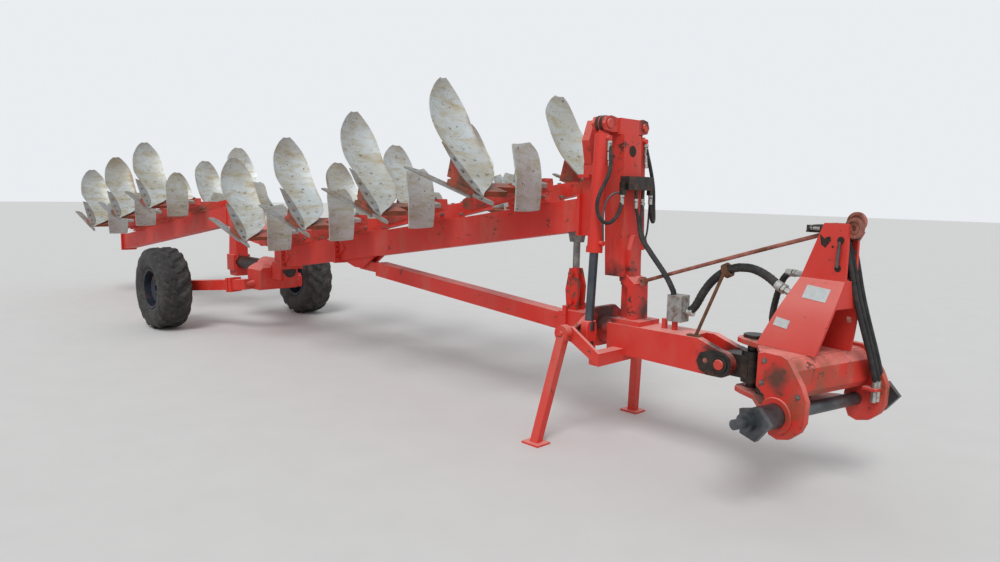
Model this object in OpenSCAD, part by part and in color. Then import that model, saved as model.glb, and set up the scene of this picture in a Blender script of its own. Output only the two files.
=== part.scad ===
// Semi-mounted reversible plough with seven pairs of bodies, parked half turned over.
// X points forward, Y to the left and Z up. Places along X count from the wheel axle,
// and the whole plough is then moved so that the origin lies under its middle.

/* [Wheels] */
// Outside diameter of a tyre over its lugs
tyre_d = 900; // [840:10:940]
// Width of a tyre
tyre_w = 350; // [300:10:360]
// Diameter of a rim at the tyre's bead
rim_d = 420; // [400:10:460]
// Distance between the middles of the two tyres
wheel_track = 1740; // [1720:10:1900]
// Height of a tyre lug
lug_h = 20; // [12:1:26]
// Number of lugs in each of the two rows of a tyre
lug_count = 18; // [14:1:22]

/* [Carriage] */
// Distance of the carriage hub ahead of the wheel axle
hub_x = 850; // [820:10:880]
// Height of the pivot of the wheel arms
arm_pivot_z = 535; // [525:5:540]
// Width of the hub across the machine
hub_w = 440; // [420:10:460]
// Side of the square wheel arms
arm_side = 110; // [90:5:115]

/* [Turnover axle] */
// Height of the axle that the frame turns over on
roll_z = 700; // [695:5:710]
// Diameter of the turnover axle in the mast's foot
axle_d = 120; // [90:5:125]
// Diameter of the tube that turns in the carriage hub
tube_d = 150; // [130:5:160]
// Distance of the two cylinder eyes from the axle
crank_r = 260; // [240:10:270]

/* [Frame] */
// Slope of the two body beams in degrees
beam_slope = 8.5; // [8:0.5:9]
// Height of the beams' section
beam_h = 215; // [190:5:230]
// Width of both beams
beam_w = 160; // [140:5:180]
// Side of the square draft beam
draft_side = 120; // [100:5:130]

/* [Plough bodies] */
// Distance between one pair of bodies and the next
body_pitch = 1070; // [1040:5:1075]
// Number of body pairs on the front beam
front_pairs = 4; // [2:1:4]
// Number of body pairs on the rear beam
rear_pairs = 3; // [1:1:3]
// Turn of the bodies against the beams' level in degrees
body_tilt = 16; // [14:1:18]
// Distance of the cutting edges from the middle of the frame
body_reach = 800; // [790:5:830]
// Height of the share points above the middle of their beam
point_rise = 130; // [120:5:140]
// Thickness of a mouldboard and its share
board_t = 10; // [8:1:14]
// Thickness of a body leg
leg_t = 36; // [30:1:40]

/* [Mast] */
// Height of the mast's cylinder eyes
mast_eye_z = 2020; // [1980:10:2050]
// Width of the mast column
column_w = 180; // [160:10:190]
// Outside diameter of a turnover cylinder
barrel_d = 92; // [84:2:100]
// Diameter of a turnover cylinder's rod
rod_d = 56; // [40:2:60]

/* [Drawbar] */
// Width of the drawbar
drawbar_w = 250; // [230:10:260]
// Height of the drawbar's top
drawbar_top_z = 770; // [765:5:780]
// Height of the cross pin that lets the headstock tip
tip_z = 640; // [630:5:650]
// Distance of a parking stand's foot from the middle
stand_foot_y = 530; // [500:10:560]

/* [Headstock] */
// Angle that the headstock is steered to the right in degrees
steer_rest = 13; // [8:1:18]
// Height of the lower hitch pins
hitch_z = 520; // [510:5:530]
// Distance between the shoulders of the two hitch pins
hitch_w = 1166; // [1120:2:1180]
// Diameter of the lower hitch pins
hitch_pin_d = 50.8; // [36:0.1:52]
// Height of the top link bore
top_link_z = 1400; // [1380:5:1410]
// Diameter of the top link bore
top_link_d = 45.2; // [32:0.1:46]

/* [Hidden] */
$fn = 48;

// Gap between pieces that are bolted together, and round a pin that turns
seat = 0.3;
run = 0.05;
// The middle of the plough's length, ahead of the axle
centre_x = 1640;
axle_z = tyre_d / 2;

// Ends of the two beams' middle lines, the height at one end, and the splice
front_beam_x0 = 1240;
front_beam_x1 = 5240;
front_beam_z0 = 850;
splice_x = 2310;
rear_beam_x0 = -3780;
rear_beam_x1 = -120;
rear_beam_z1 = 1240;
flange_t = 22;
// Places of the first share points on the front and the rear beam
front_point_x = 5080;
rear_point_x = -575;
// Legs stand this far behind the share points and end at the carriers' arms
leg_back = 280;
arm_out = 280;
// Columns of a mouldboard's grid, the joint above its share, and the wing's brace
board_columns = 5;
share_columns = 3;
share_gap = 0.002;
brace_d = 22;

// Rear link: its ends, the post behind the hub and the room over the hub
link_front_x = front_beam_x0 - seat;
link_rear_x = rear_beam_x1 + seat;
post_x0 = -70;
post_x1 = 90;
hub_clear_z = 250;

// Wheel arms: cross shaft, the arms' two ends and the stub axles
shaft_d = 80;
arm_wheel_y = 590;
arm_front_x = 860;
arm_front_y = 292;
stub_d = 70;
stub_reach = 30;

// Yoke: the crank plate with its two pins, the block behind it and the axle's front end
yoke_x0 = 5130;
crank_x = 5400;
crank_t = 32;
crank_pin_d = 50;
axle_end_x = 5730;

// Cylinders: their plane, the eyes and pins at the mast and the barrels' length
rod_x = 5500;
rod_eye_t = 50;
cyl_top_y = 190;
eye_d = 96;
pin_d = 40;
barrel_foot = 800;

// Drawbar and mast column
drawbar_x0 = 5545;
tip_x = 6340;
tip_pin_d = 60;
fork_gap = 140;
column_top_x = [5440, 5592];
column_low_x = [5484, 5636];
column_top_z = 1960;
column_low_z = 1068;
foot_x = [5560, 5780];
column_foot_t = 30;

// Parking stands: the folding pins and the lugs that hold them
stand_x = 5420;
stand_y = 410;
stand_pin_z = 715;
stand_pin_d = 30;
lug_y = stand_y - 42;

// Hose bundle over the drawbar, and the place and slope of the ring on the post that carries it
hose_d = 50;
post_hold = [6290, 0, 1166];
post_hold_slope = 27;

// Routes of the hoses on the mast and the drawbar, in the plough's own frame, and their diameters
valve_hose_d = 22;
valve_nipple_x = 5660;
valve_nipples_y = [-31, 41];
bundle_route = [
    [5685, -4, 1360], [5716, -14, 1300], [5772, -27, 1243], [5828, -34, 1186], [5882, -37, 1128],
    [5924, -36, 1074], [5948, -31, 1030], [5957, -24, 1003], [5957, -24, 985.3]
];
post_route = [
    [6025.3, 0, 895], [6048, 0, 895], [6072, 0, 908], [6095, 0, 932], [6116, 0, 968], [6142, 0, 1018],
    [6185, 0, 1080], [6235, 0, 1130], [6290, 0, 1167], [6345, 0, 1186], [6375, 0, 1190]
];
loop_hose_d = 24;
loop_route = [
    [5640, -155, 1583.7], [5640, -155, 1556], [5639, -161, 1515], [5633, -177, 1468], [5622, -207, 1429],
    [5608, -245, 1411], [5590, -281, 1426], [5574, -302, 1468], [5567, -306, 1520], [5571, -296, 1575],
    [5581, -273, 1630], [5590, -245, 1682], [5592, -222, 1735], [5586, -208, 1790], [5574, -200, 1845],
    [5564, -197, 1890], [5562, -197, 1912]
];
// Routes of the hoses on the tower, in the headstock's own frame
back_hose_d = 36;
back_route = [
    [196, 60, 1185], [166, 60, 1185], [130, 60, 1166], [102, 60, 1120], [84, 60, 1060], [70, 60, 1000],
    [62, 60, 950], [60, 60, 912], [68, 60, 892], [84, 60, 890]
];
tower_hose_d = 26;
tower_route = [
    [326, 0, 1441], [372, 0, 1446], [418, 0, 1447], [460, 2, 1437], [492, 6, 1412], [516, 12, 1370],
    [532, 22, 1310], [542, 36, 1240], [548, 58, 1160], [552, 90, 1075], [554, 130, 990], [555, 174, 905],
    [555, 220, 820], [554, 262, 740], [552, 300, 666], [551, 312, 636], [551, 312, 610]
];

// Headstock: the steering pin with its two lugs, then places ahead of that pin
steer_x = 6480;
steer_pin_d = 70;
lug_low_z = 490;
lug_high_z = 775;
cheek_y = 330;
shaft_x = 430;
shaft_bore_d = 70.6;
top_link_x = 425;

function front_z(x) = front_beam_z0 + (x - front_beam_x0) * tan(beam_slope);
function front_low(x) = front_z(x) - beam_h / 2 / cos(beam_slope);
function rear_z(x) = rear_beam_z1 + (x - rear_beam_x1) * tan(beam_slope);
function front_points() = [for (i = [0:front_pairs - 1]) front_point_x - i * body_pitch];
function rear_points() = [for (i = [0:rear_pairs - 1]) rear_point_x - i * body_pitch];
function mix(a, b, t) = a + (b - a) * t;

module red() { color([0.78, 0.13, 0.10]) children(); }
module dark() { color([0.12, 0.12, 0.13]) children(); }
module steel() { color([0.72, 0.76, 0.78]) children(); }
module placed() { translate([-centre_x, 0, 0]) children(); }

module box(x0, x1, y0, y1, z0, z1) {
    translate([x0, y0, z0]) cube([x1 - x0, y1 - y0, z1 - z0]);
}

// Round bars along X, Y or Z between two places
module bar_x(x0, x1, y, z, d) { translate([x0, y, z]) rotate([0, 90, 0]) cylinder(h = x1 - x0, d = d); }
module bar_y(y0, y1, x, z, d) { translate([x, y0, z]) rotate([-90, 0, 0]) cylinder(h = y1 - y0, d = d); }
module bar_z(z0, z1, x, y, d) { translate([x, y, z0]) cylinder(h = z1 - z0, d = d); }

// A plate of the thickness t with its outline in X and Z and its middle at y
module plate_xz(y, t, points) {
    translate([0, y + t / 2, 0]) rotate([90, 0, 0]) linear_extrude(t) polygon(points);
}

// A plate with its outline in Y and Z, from x to x + t
module plate_yz(x, t, points) {
    translate([x, 0, 0]) rotate([90, 0, 90]) linear_extrude(t) polygon(points);
}

// A square bar between two places, the section's side given
module square_bar(a, b, side_y, side_z) {
    d = b - a;
    reach = norm(d);
    translate(a)
        rotate([0, acos(d[2] / reach), atan2(d[1], d[0])])
            translate([-side_z / 2, -side_y / 2, 0]) cube([side_z, side_y, reach]);
}

// A round rod between two places
module rod_between(a, b, d0) {
    d = b - a;
    reach = norm(d);
    translate(a) rotate([0, acos(d[2] / reach), atan2(d[1], d[0])]) cylinder(h = reach, d = d0);
}

// Solid between two grids of points that have rows x columns points each
module skin(top, bottom, rows, columns) {
    count = rows * columns;
    function at(i, j, k) = k * count + i * columns + j;
    upper = [for (i = [0:rows - 2], j = [0:columns - 2], h = [0, 1])
        h == 0 ? [at(i, j, 0), at(i + 1, j, 0), at(i + 1, j + 1, 0)]
               : [at(i, j, 0), at(i + 1, j + 1, 0), at(i, j + 1, 0)]];
    lower = [for (f = upper) [f[2] + count, f[1] + count, f[0] + count]];
    ends = [for (j = [0:columns - 2], e = [0, 1], h = [0, 1])
        let (i = e * (rows - 1), a = at(i, j, 0), b = at(i, j + 1, 0), c = at(i, j + 1, 1), d = at(i, j, 1))
        e == 0 ? (h == 0 ? [a, b, c] : [a, c, d]) : (h == 0 ? [c, b, a] : [d, c, a])];
    sides = [for (i = [0:rows - 2], e = [0, 1], h = [0, 1])
        let (j = e * (columns - 1), a = at(i, j, 0), b = at(i + 1, j, 0))
        let (c = at(i + 1, j, 1), d = at(i, j, 1))
        e == 1 ? (h == 0 ? [a, b, c] : [a, c, d]) : (h == 0 ? [c, b, a] : [d, c, a])];
    polyhedron(points = concat(top, bottom), faces = concat(upper, lower, ends, sides));
}

// Mouldboard: sections from the point to the wing. The columns are, for the cutting edge,
// how far back, how far thrown and how high it lies, then the same for the top edge,
// then the depth of the hollow between them and the share's part of the width
board_sections = [
    [0, 0, 0, 70, 10, 70, 2, 0.30],
    [110, 30, 0, 190, 30, 230, 12, 0.34],
    [230, 75, 0, 290, 75, 340, 25, 0.30],
    [360, 150, 0, 400, 140, 375, 40, 0.26],
    [480, 225, 5, 510, 200, 380, 55, 0.16],
    [590, 300, 15, 620, 290, 380, 60, 0],
    [680, 375, 30, 710, 385, 375, 55, 0],
    [745, 460, 55, 790, 470, 350, 40, 0],
    [790, 545, 110, 830, 545, 290, 20, 0],
    [812, 590, 165, 835, 590, 235, 8, 0]
];

// Skimmer: the same columns, for the small board ahead of each body
skimmer_sections = [
    [-110, -50, 185, -100, -50, 420, 8, 0],
    [-100, 60, 170, -70, 60, 430, 26, 0],
    [-60, 180, 170, -30, 180, 430, 34, 0],
    [10, 290, 180, 30, 285, 425, 24, 0],
    [50, 330, 200, 70, 345, 370, 8, 0]
];

// Point of a board in its body's frame: s is a section, t runs from the cutting edge
// to the top edge, and deep is the distance behind the polished face
function face_point(s, t, deep) =
    let (h = s[6] * 4 * t * (1 - t) + deep)
    [-mix(s[0], s[3], t) - 0.6 * h, mix(s[2], s[5], t), mix(s[1], s[4], t) - 0.8 * h];

// Part of a board between two fractions of its width, which may differ at each section
module board(sections, t0, t1, columns, deep0, deep1) {
    rows = len(sections);
    front = [for (i = [0:rows - 1], j = [0:columns - 1])
        face_point(sections[i], mix(t0[i], t1[i], j / (columns - 1)), deep0)];
    back = [for (i = [0:rows - 1], j = [0:columns - 1])
        face_point(sections[i], mix(t0[i], t1[i], j / (columns - 1)), deep1)];
    skin(front, back, rows, columns);
}

// Where a mouldboard's upper part is divided between its share line and its top edge
function board_part(s, j) = mix(s[7], 1, j / (board_columns - 1));

// The same for the share, between its cutting edge and the line where it meets the board
function share_part(s, j) = mix(0, s[7] - share_gap, j / (share_columns - 1));

// Block that fills the space from a board's back down to a level of its body
module backing(upper, rows, level) {
    lower = [for (p = upper) [p[0], p[1], level]];
    skin(upper, lower, rows, len(upper) / rows);
}

// Puts a body's frame at its share point
module at_body(x, z, side) {
    mirror([0, side > 0 ? 1 : 0, 0])
        translate([x, -body_reach, z + point_rise]) rotate([0, body_tilt, 0]) children();
}

module at_bodies(front, side) {
    for (x = front ? front_points() : rear_points())
        at_body(x, front ? front_z(x) : rear_z(x), side) children();
}

// Leg of a body: frog plate, the block behind the board, the shank and the brace
module body_leg() {
    red() {
        backing([for (i = [1:4], j = [1:3])
            face_point(board_sections[i], board_part(board_sections[i], j), board_t + seat)], 4, -leg_t / 2);
        backing([for (i = [1:3], j = [1, 2])
            face_point(board_sections[i], share_part(board_sections[i], j), board_t + seat)], 3, -leg_t / 2);
        box(-400, -125, 40, 330, -leg_t, 0);
        box(-leg_back - 50, -leg_back + 50, 320, body_reach - arm_out - seat, -leg_t, 0);
    }
}

// Brace from the frog to a pad behind the board's wing
module body_brace() {
    pad_t = 20;
    function pad(deep) = [for (i = [5, 6], j = [2, 3])
        face_point(board_sections[i], board_part(board_sections[i], j), board_t + deep)];
    skin(pad(seat), pad(pad_t), 2, 2);
    a = [-385, 181, -leg_t / 2 - 1];
    d = (pad(pad_t - 3)[0] + pad(pad_t - 3)[3]) / 2 - a;
    translate(a) rotate([0, acos(d[2] / norm(d)), atan2(d[1], d[0])])
        linear_extrude(norm(d)) polygon([for (k = [0:7]) brace_d / 2 * [cos(k * 45), sin(k * 45)]]);
}

module body_legs(front, side) {
    placed() at_bodies(front, side) {
        body_leg();
        body_brace();
    }
}

module body_boards(front, side) {
    steel() placed() at_bodies(front, side)
        board(board_sections, [for (s = board_sections) s[7]], [for (s = board_sections) 1], board_columns,
            0, board_t);
}

// Share with its point and the landside bar that runs against the furrow wall
module body_share() {
    share_rows = [for (i = [0:4]) board_sections[i]];
    point_t = 22;
    bar_t = 12;
    board(share_rows, [for (s = share_rows) 0], [for (s = share_rows) s[7] - share_gap], share_columns,
        0, board_t);
    translate([0, 0, -4 - point_t])
        linear_extrude(point_t) polygon([[95, 4], [60, -6], [-90, -6], [-90, 19], [40, 19]]);
    difference() {
        translate([0, 0, -leg_t - seat - bar_t])
            linear_extrude(bar_t) polygon([[-130, 8], [-830, 8], [-830, 50], [-760, 80], [-160, 80]]);
        for (i = [0:8]) translate([-220 - i * 66, 44, -leg_t - 30]) cylinder(h = 60, d = 16, $fn = 16);
    }
}

module body_shares(front, side) { steel() placed() at_bodies(front, side) body_share(); }

// Skimmer with the stem that its carrier's arm holds
module body_skimmers(front, side) {
    ones = [for (k = skimmer_sections) 1];
    steel() placed() at_bodies(front, side) {
        board(skimmer_sections, 0 * ones, ones, 4, 0, board_t);
        backing([for (i = [2, 3], t = [0.3, 0.8]) face_point(skimmer_sections[i], t, board_t / 2)], 2, 95);
        box(-30, 30, 250, body_reach - arm_out - seat, 75, 105);
    }
}

// Carrier: base plate on the beam, cross box and the two long arms that hold the legs
module carrier() {
    base_t = 18;
    arm_w = 85;
    arm_z0 = 150;
    arm_z1 = 262;
    top = beam_h / 2 + seat;
    box(-190, 190, -beam_w / 2 - 45, beam_w / 2 + 45, top, top + base_t);
    box(-90, 90, -arm_out + arm_w - 1, arm_out - arm_w + 1, top + base_t - 1, arm_z1 - 20);
    for (s = [-1, 1]) mirror([0, s > 0 ? 1 : 0, 0])
        plate_xz(-arm_out + arm_w / 2, arm_w, [[-480, arm_z0], [-440, arm_z0 - 20], [335, arm_z0 + 20],
            [335, arm_z1 - 10], [100, arm_z1], [-300, arm_z1], [-480, arm_z1 - 50]]);
    for (x = [-150, 150], y = [-1, 1])
        bar_z(top + base_t - 1, top + base_t + 22, x, y * (beam_w / 2 + 22), 30);
}

module carriers(front) {
    red() placed() for (x = front ? front_points() : rear_points()) let (s = x - leg_back * cos(body_tilt))
        translate([s, 0, front ? front_z(s) : rear_z(s)]) rotate([0, -beam_slope, 0]) carrier();
}

// A beam's section along its sloping middle line
module sloping_beam(x0, x1, z0, h, w) {
    half = h / 2 / cos(beam_slope);
    z1 = z0 + (x1 - x0) * tan(beam_slope);
    plate_xz(0, w, [[x0, z0 - half], [x1, z1 - half], [x1, z1 + half], [x0, z0 + half]]);
}

// Upright flange pair with a row of bolts on each side
module flange_pair(x, z) {
    rise = beam_h / 2 + 22;
    for (s = [-1, 1]) {
        box(x + (s < 0 ? -flange_t : 0), x + (s < 0 ? 0 : flange_t), -beam_w / 2 - 45, beam_w / 2 + 45,
            z - rise, z + rise);
        for (i = [-2:2]) bar_x(x - flange_t - 16, x + flange_t + 16, s * (beam_w / 2 + 22), z + i * 48, 26);
    }
}

module front_beam() {
    gusset = 120;
    red() placed() {
        sloping_beam(front_beam_x0, front_beam_x1, front_beam_z0, beam_h, beam_w);
        flange_pair(splice_x, front_z(splice_x));
        flange_pair(front_beam_x0 + flange_t, front_z(front_beam_x0));
        for (x = [splice_x, front_beam_x0 + flange_t], s = [-1, 1]) let (z = front_z(x + gusset / 2))
            plate_xz(s * (beam_w / 2 + 7), 15,
                [[x + 10, z - beam_h / 2 + 8], [x + gusset, z], [x + 10, z + beam_h / 2 - 8]]);
        box(front_beam_x1 - 1, front_beam_x1 + flange_t, -beam_w / 2 - 20, beam_w / 2 + 20,
            front_z(front_beam_x1) - beam_h / 2 - 30, front_z(front_beam_x1) + beam_h / 2 + 30);
    }
}

// Post and cap plate that stand on the beam's front end
module front_post() {
    x0 = front_beam_x1 + flange_t + seat;
    x1 = x0 + 75;
    foot_z = front_z(front_beam_x1) - beam_h / 2 - 30;
    red() placed() {
        box(x0, x1, -70, 70, foot_z, 1790);
        box(x0, x1 + 12, -125, 125, 1690, 1712);
        plate_yz(x0 + 10, 60, [[-75, 1780], [75, 1780], [110, 1930], [60, 2060], [-60, 2060], [-110, 1930]]);
    }
}

module rear_beam() {
    red() placed() {
        sloping_beam(rear_beam_x0, rear_beam_x1, rear_z(rear_beam_x0), beam_h, beam_w);
        box(rear_beam_x0 - flange_t, rear_beam_x0 + 1, -beam_w / 2 - 30, beam_w / 2 + 30,
            rear_z(rear_beam_x0) - beam_h / 2 - 20, rear_z(rear_beam_x0) + beam_h / 2 + 20);
        for (s = [-1, 1], i = [-2:2])
            bar_x(rear_beam_x0 - flange_t - 16, rear_beam_x0, s * (beam_w / 2 + 14),
                rear_z(rear_beam_x0) + i * 45, 24);
    }
}

// Rear link: the cranked member that joins the front beam to the rear beam over the hub,
// with the post and the bracket that hold the tube
module rear_link() {
    half = 70;
    bearing = tube_d / 2 + 25;
    zf = front_beam_z0;
    zr = rear_beam_z1;
    red() placed() difference() {
        union() {
            plate_xz(0, 2 * half, [
                [link_front_x, zf - 105], [link_front_x, zf + 105], [hub_x + 80, roll_z + hub_clear_z + 60],
                [680, 1190], [350, 1200], [link_rear_x, zr + 105], [link_rear_x, zr - 105], [200, 1080],
                [350, 985], [hub_x - 200, roll_z + hub_clear_z], [hub_x + 180, roll_z + hub_clear_z - 20],
                [hub_x + 180, roll_z - 105], [link_front_x, roll_z - 105]
            ]);
            plate_xz(0, 2 * half, [[post_x0, roll_z - 165], [post_x1, roll_z - 165], [post_x1 + 30, roll_z],
                [post_x1, 1160], [link_rear_x, 1250], [post_x0 + 10, 1100], [post_x0 - 25, roll_z]]);
            for (x = [[post_x0 - 10, post_x1 + 10], [hub_x + 180, link_front_x - 20]])
                box(x[0], x[1], -bearing, bearing, roll_z - bearing, roll_z + bearing - 15);
        }
        bar_x(post_x0 - 60, 1300, 0, roll_z, tube_d + 2 * seat);
        box(post_x1 + 31, hub_x + 179, -half - 1, half + 1, roll_z - 200, roll_z + 90);
    }
}

// Tube that the carriage hub turns on, with its two end collars
module roll_tube() {
    dark() placed() {
        bar_x(post_x0 + 5, link_front_x - 5, 0, roll_z, tube_d);
    }
}

// Hub of the carriage: bearing for the tube and for the wheel arms' shaft
module carriage_hub() {
    half = hub_w / 2;
    x0 = hub_x - 150;
    x1 = hub_x + 150;
    low = roll_z - 225;
    red() placed() difference() {
        union() {
            plate_xz(0, hub_w, [[x0, low + 20], [x0 + 30, low], [x1 - 30, low], [x1, low + 40],
                [x1, roll_z + 15], [x1 - 60, roll_z + 55], [x0 + 60, roll_z + 55], [x0, roll_z + 15]]);
            bar_x(x0 - 20, x1 + 20, 0, roll_z, tube_d + 70);
        }
        bar_x(x0 - 30, x1 + 30, 0, roll_z, tube_d + 2 * run);
        bar_y(-half - 1, half + 1, hub_x - 20, arm_pivot_z, shaft_d + 2 * run);
        for (s = [-1, 1]) mirror([0, s > 0 ? 1 : 0, 0])
            plate_yz(x0 - 30, 400,
                [[-half - 10, roll_z - 20], [-130, roll_z + 80], [-half - 10, roll_z + 80]]);
    }
}

// Place of the wheel arm's middle at a distance ahead of the axle
function arm_at(x) =
    [x, -mix(arm_wheel_y, arm_front_y, x / arm_front_x), mix(axle_z + 5, arm_pivot_z, x / arm_front_x)];

// Wheel arms: cross shaft through the hub, two arms with clamp collars, and the stub axles
module wheel_arms() {
    tyre_in = (wheel_track - tyre_w) / 2;
    red() placed() {
        bar_y(-arm_front_y - 20, arm_front_y + 20, hub_x - 20, arm_pivot_z, shaft_d);
        for (s = [-1, 1]) mirror([0, s > 0 ? 1 : 0, 0]) {
            square_bar(arm_at(arm_front_x), arm_at(0), arm_side, arm_side);
            for (x = [640, 690]) square_bar(arm_at(x), arm_at(x - 22), arm_side + 44, arm_side + 44);
            square_bar(arm_at(690), arm_at(640), arm_side + 20, arm_side + 20);
            bar_y(-wheel_track / 2 - stub_reach, -arm_wheel_y + 30, 0, axle_z, stub_d);
            bar_y(-tyre_in + 25, -arm_wheel_y + 30, 0, axle_z, 130);
        }
    }
}

// Tyre: carcass ring with two rows of slanted lugs
module tyre() {
    r = tyre_d / 2;
    base = r - lug_h;
    half = tyre_w / 2;
    bead = rim_d / 2 + seat;
    lug_w = 48;
    slant = 32;
    rotate([90, 0, 0]) {
        rotate_extrude($fn = 72) polygon([
            [bead, -half + 50], [bead + 45, -half + 14], [bead + 100, -half], [base - 75, -half + 2],
            [base - 22, -half + 26], [base, -half + 75], [base, half - 75],
            [base - 22, half - 26], [base - 75, half - 2], [bead + 100, half], [bead + 45, half - 14],
            [bead, half - 50]
        ]);
        intersection() {
            for (i = [0:lug_count - 1], s = [-1, 1])
                rotate([0, 0, (i + (s > 0 ? 0.5 : 0)) * 360 / lug_count])
                    translate([base - 30, 0, s * (half / 2 + 2)]) rotate([s * slant, 0, 0])
                        translate([0, -lug_w / 2, -half / 2 - 2]) cube([lug_h + 60, lug_w, half + 4]);
            rotate_extrude($fn = 72) polygon([
                [base - 40, -half + 1], [r - 60, -half + 1], [r, -half + 45], [r, half - 45],
                [r - 60, half - 1], [base - 40, half - 1]
            ]);
        }
    }
}

module at_wheel(side) {
    placed() translate([0, side * wheel_track / 2, axle_z]) mirror([0, side > 0 ? 1 : 0, 0]) children();
}

// Rim: barrel with bead flanges, a dished disc, the hub and its bolts
module rim() {
    r = rim_d / 2;
    half = tyre_w / 2;
    disc_y = 40;
    rotate([90, 0, 0]) {
        rotate_extrude() polygon([
            [r - 14, -half + 38], [r + 8, -half + 30], [r + 8, -half + 38], [r, -half + 42],
            [r, half - 42], [r + 8, half - 38], [r + 8, half - 30], [r - 14, half - 38]
        ]);
        rotate_extrude() polygon([
            [stub_d / 2 + run, -half - 10], [65, -half - 10], [75, 0], [95, disc_y], [150, disc_y + 25],
            [r - 13, disc_y - 20], [r - 13, disc_y - 6], [150, disc_y + 39], [95, disc_y + 14],
            [72, disc_y + 16], [65, disc_y + 40], [stub_d / 2 + run, disc_y + 40]
        ]);
        for (a = [0:60:300]) rotate([0, 0, a]) translate([84, 0, disc_y + 5]) cylinder(h = 26, d = 24);
    }
}

// Yoke of the frame: axle in the mast's foot, crank for the two cylinders and the front block

module turnover_yoke() {
    red() placed() {
        bar_x(crank_x - 1, axle_end_x, 0, roll_z, axle_d);
        bar_x(crank_x + crank_t - 1, drawbar_x0 - 6, 0, roll_z, axle_d + 50);
        difference() {
            plate_yz(crank_x, crank_t, [
                [-crank_r - 40, roll_z - 40], [-crank_r, roll_z - 56],
                [-70, roll_z - 110], [70, roll_z - 110], [crank_r, roll_z - 56],
                [crank_r + 40, roll_z - 40], [crank_r + 40, roll_z + 40],
                [crank_r, roll_z + 56], [110, roll_z + 150], [-110, roll_z + 150],
                [-crank_r, roll_z + 56], [-crank_r - 40, roll_z + 40]
            ]);
            for (y = [-165, 165]) bar_x(crank_x - 1, crank_x + crank_t + 1, y, roll_z + 20, 50);
        }
        for (y = [-crank_r, crank_r])
            bar_x(crank_x - 20, rod_x - rod_eye_t / 2 - 15, y, roll_z, crank_pin_d);
        box(yoke_x0, crank_x + 1, -85, 85, roll_z - 90, roll_z + 95);
        for (s = [-1, 1])
            box(yoke_x0 + 20, yoke_x0 + 50, s * 97 - 12, s * 97 + 12, roll_z - 110, roll_z + 130);
    }
}

// Drawbar: box beam with the bearing of the turnover axle and a fork at the front

module drawbar() {
    half = drawbar_w / 2;
    low = drawbar_top_z - 170;
    nose = 75;
    red() placed() difference() {
        union() {
            plate_xz(0, drawbar_w, [
                [drawbar_x0, low - 20], [drawbar_x0 + 160, low - 20], [tip_x - 60, tip_z - nose],
                [tip_x, tip_z - nose], [tip_x, tip_z + nose], [tip_x - 150, drawbar_top_z],
                [drawbar_x0, drawbar_top_z]
            ]);
            bar_y(-half, half, tip_x, tip_z, 2 * nose);
            box(drawbar_x0 + 50, drawbar_x0 + 130, -lug_y, lug_y, low - 60, low + 20);
            for (s = [-1, 1]) stand_lug(s);
            for (x = [5890, 5962]) bar_z(drawbar_top_z - 1, drawbar_top_z + 61, x, 0, 36);
            box(5935, 6025, -42, 42, drawbar_top_z + 60, 985);
        }
        bar_x(drawbar_x0 - 1, axle_end_x + 40, 0, roll_z, axle_d + 2 * run);
        box(tip_x - 200, tip_x + 200, -fork_gap / 2, fork_gap / 2, low - 100, drawbar_top_z + 60);
        bar_y(-half - 1, half + 1, tip_x, tip_z, tip_pin_d + 2 * run);
    }
}

// Lug that reaches back from the drawbar's cross box to a parking stand, with its pin
module stand_lug(s) {
    y = s * lug_y;
    plate_xz(y, 24, [[stand_x - 40, stand_pin_z - 45], [stand_x + 40, stand_pin_z - 55],
        [drawbar_x0 + 130, drawbar_top_z - 230], [drawbar_x0 + 130, drawbar_top_z - 150],
        [stand_x + 40, stand_pin_z + 40], [stand_x - 40, stand_pin_z + 40]]);
    bar_y(s > 0 ? y : y - 80, s > 0 ? y + 80 : y, stand_x, stand_pin_z, stand_pin_d);
}

// Parking stand: splayed leg on the pin, with a foot plate
module stand(side) {
    foot_x = 5320;
    foot_t = 12;
    w = 60;
    red() placed() mirror([0, side > 0 ? 1 : 0, 0]) difference() {
        union() {
            bar_y(-stand_y - 26, -stand_y + 26, stand_x, stand_pin_z, 104);
            hull() {
                box(stand_x - w / 2, stand_x + w / 2, -stand_y - 26, -stand_y + 26,
                    stand_pin_z - 12, stand_pin_z - 2);
                box(foot_x - w / 2, foot_x + w / 2, -stand_foot_y - 26, -stand_foot_y + 26,
                    foot_t - 6, foot_t - 2);
            }
            box(foot_x - 70, foot_x + 70, -stand_foot_y - 60, -stand_foot_y + 60, 0, foot_t);
        }
        bar_y(-stand_y - 30, -stand_y + 30, stand_x, stand_pin_z, stand_pin_d + 2 * run);
        box(foot_x - 200, foot_x + 200, -stand_foot_y - 200, -stand_foot_y + 200, -60, 0);
    }
}

// Mast column: an H section on a foot plate
function column_front(z) =
    mix(column_low_x[1], column_top_x[1], (z - column_low_z) / (column_top_z - column_low_z));

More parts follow.
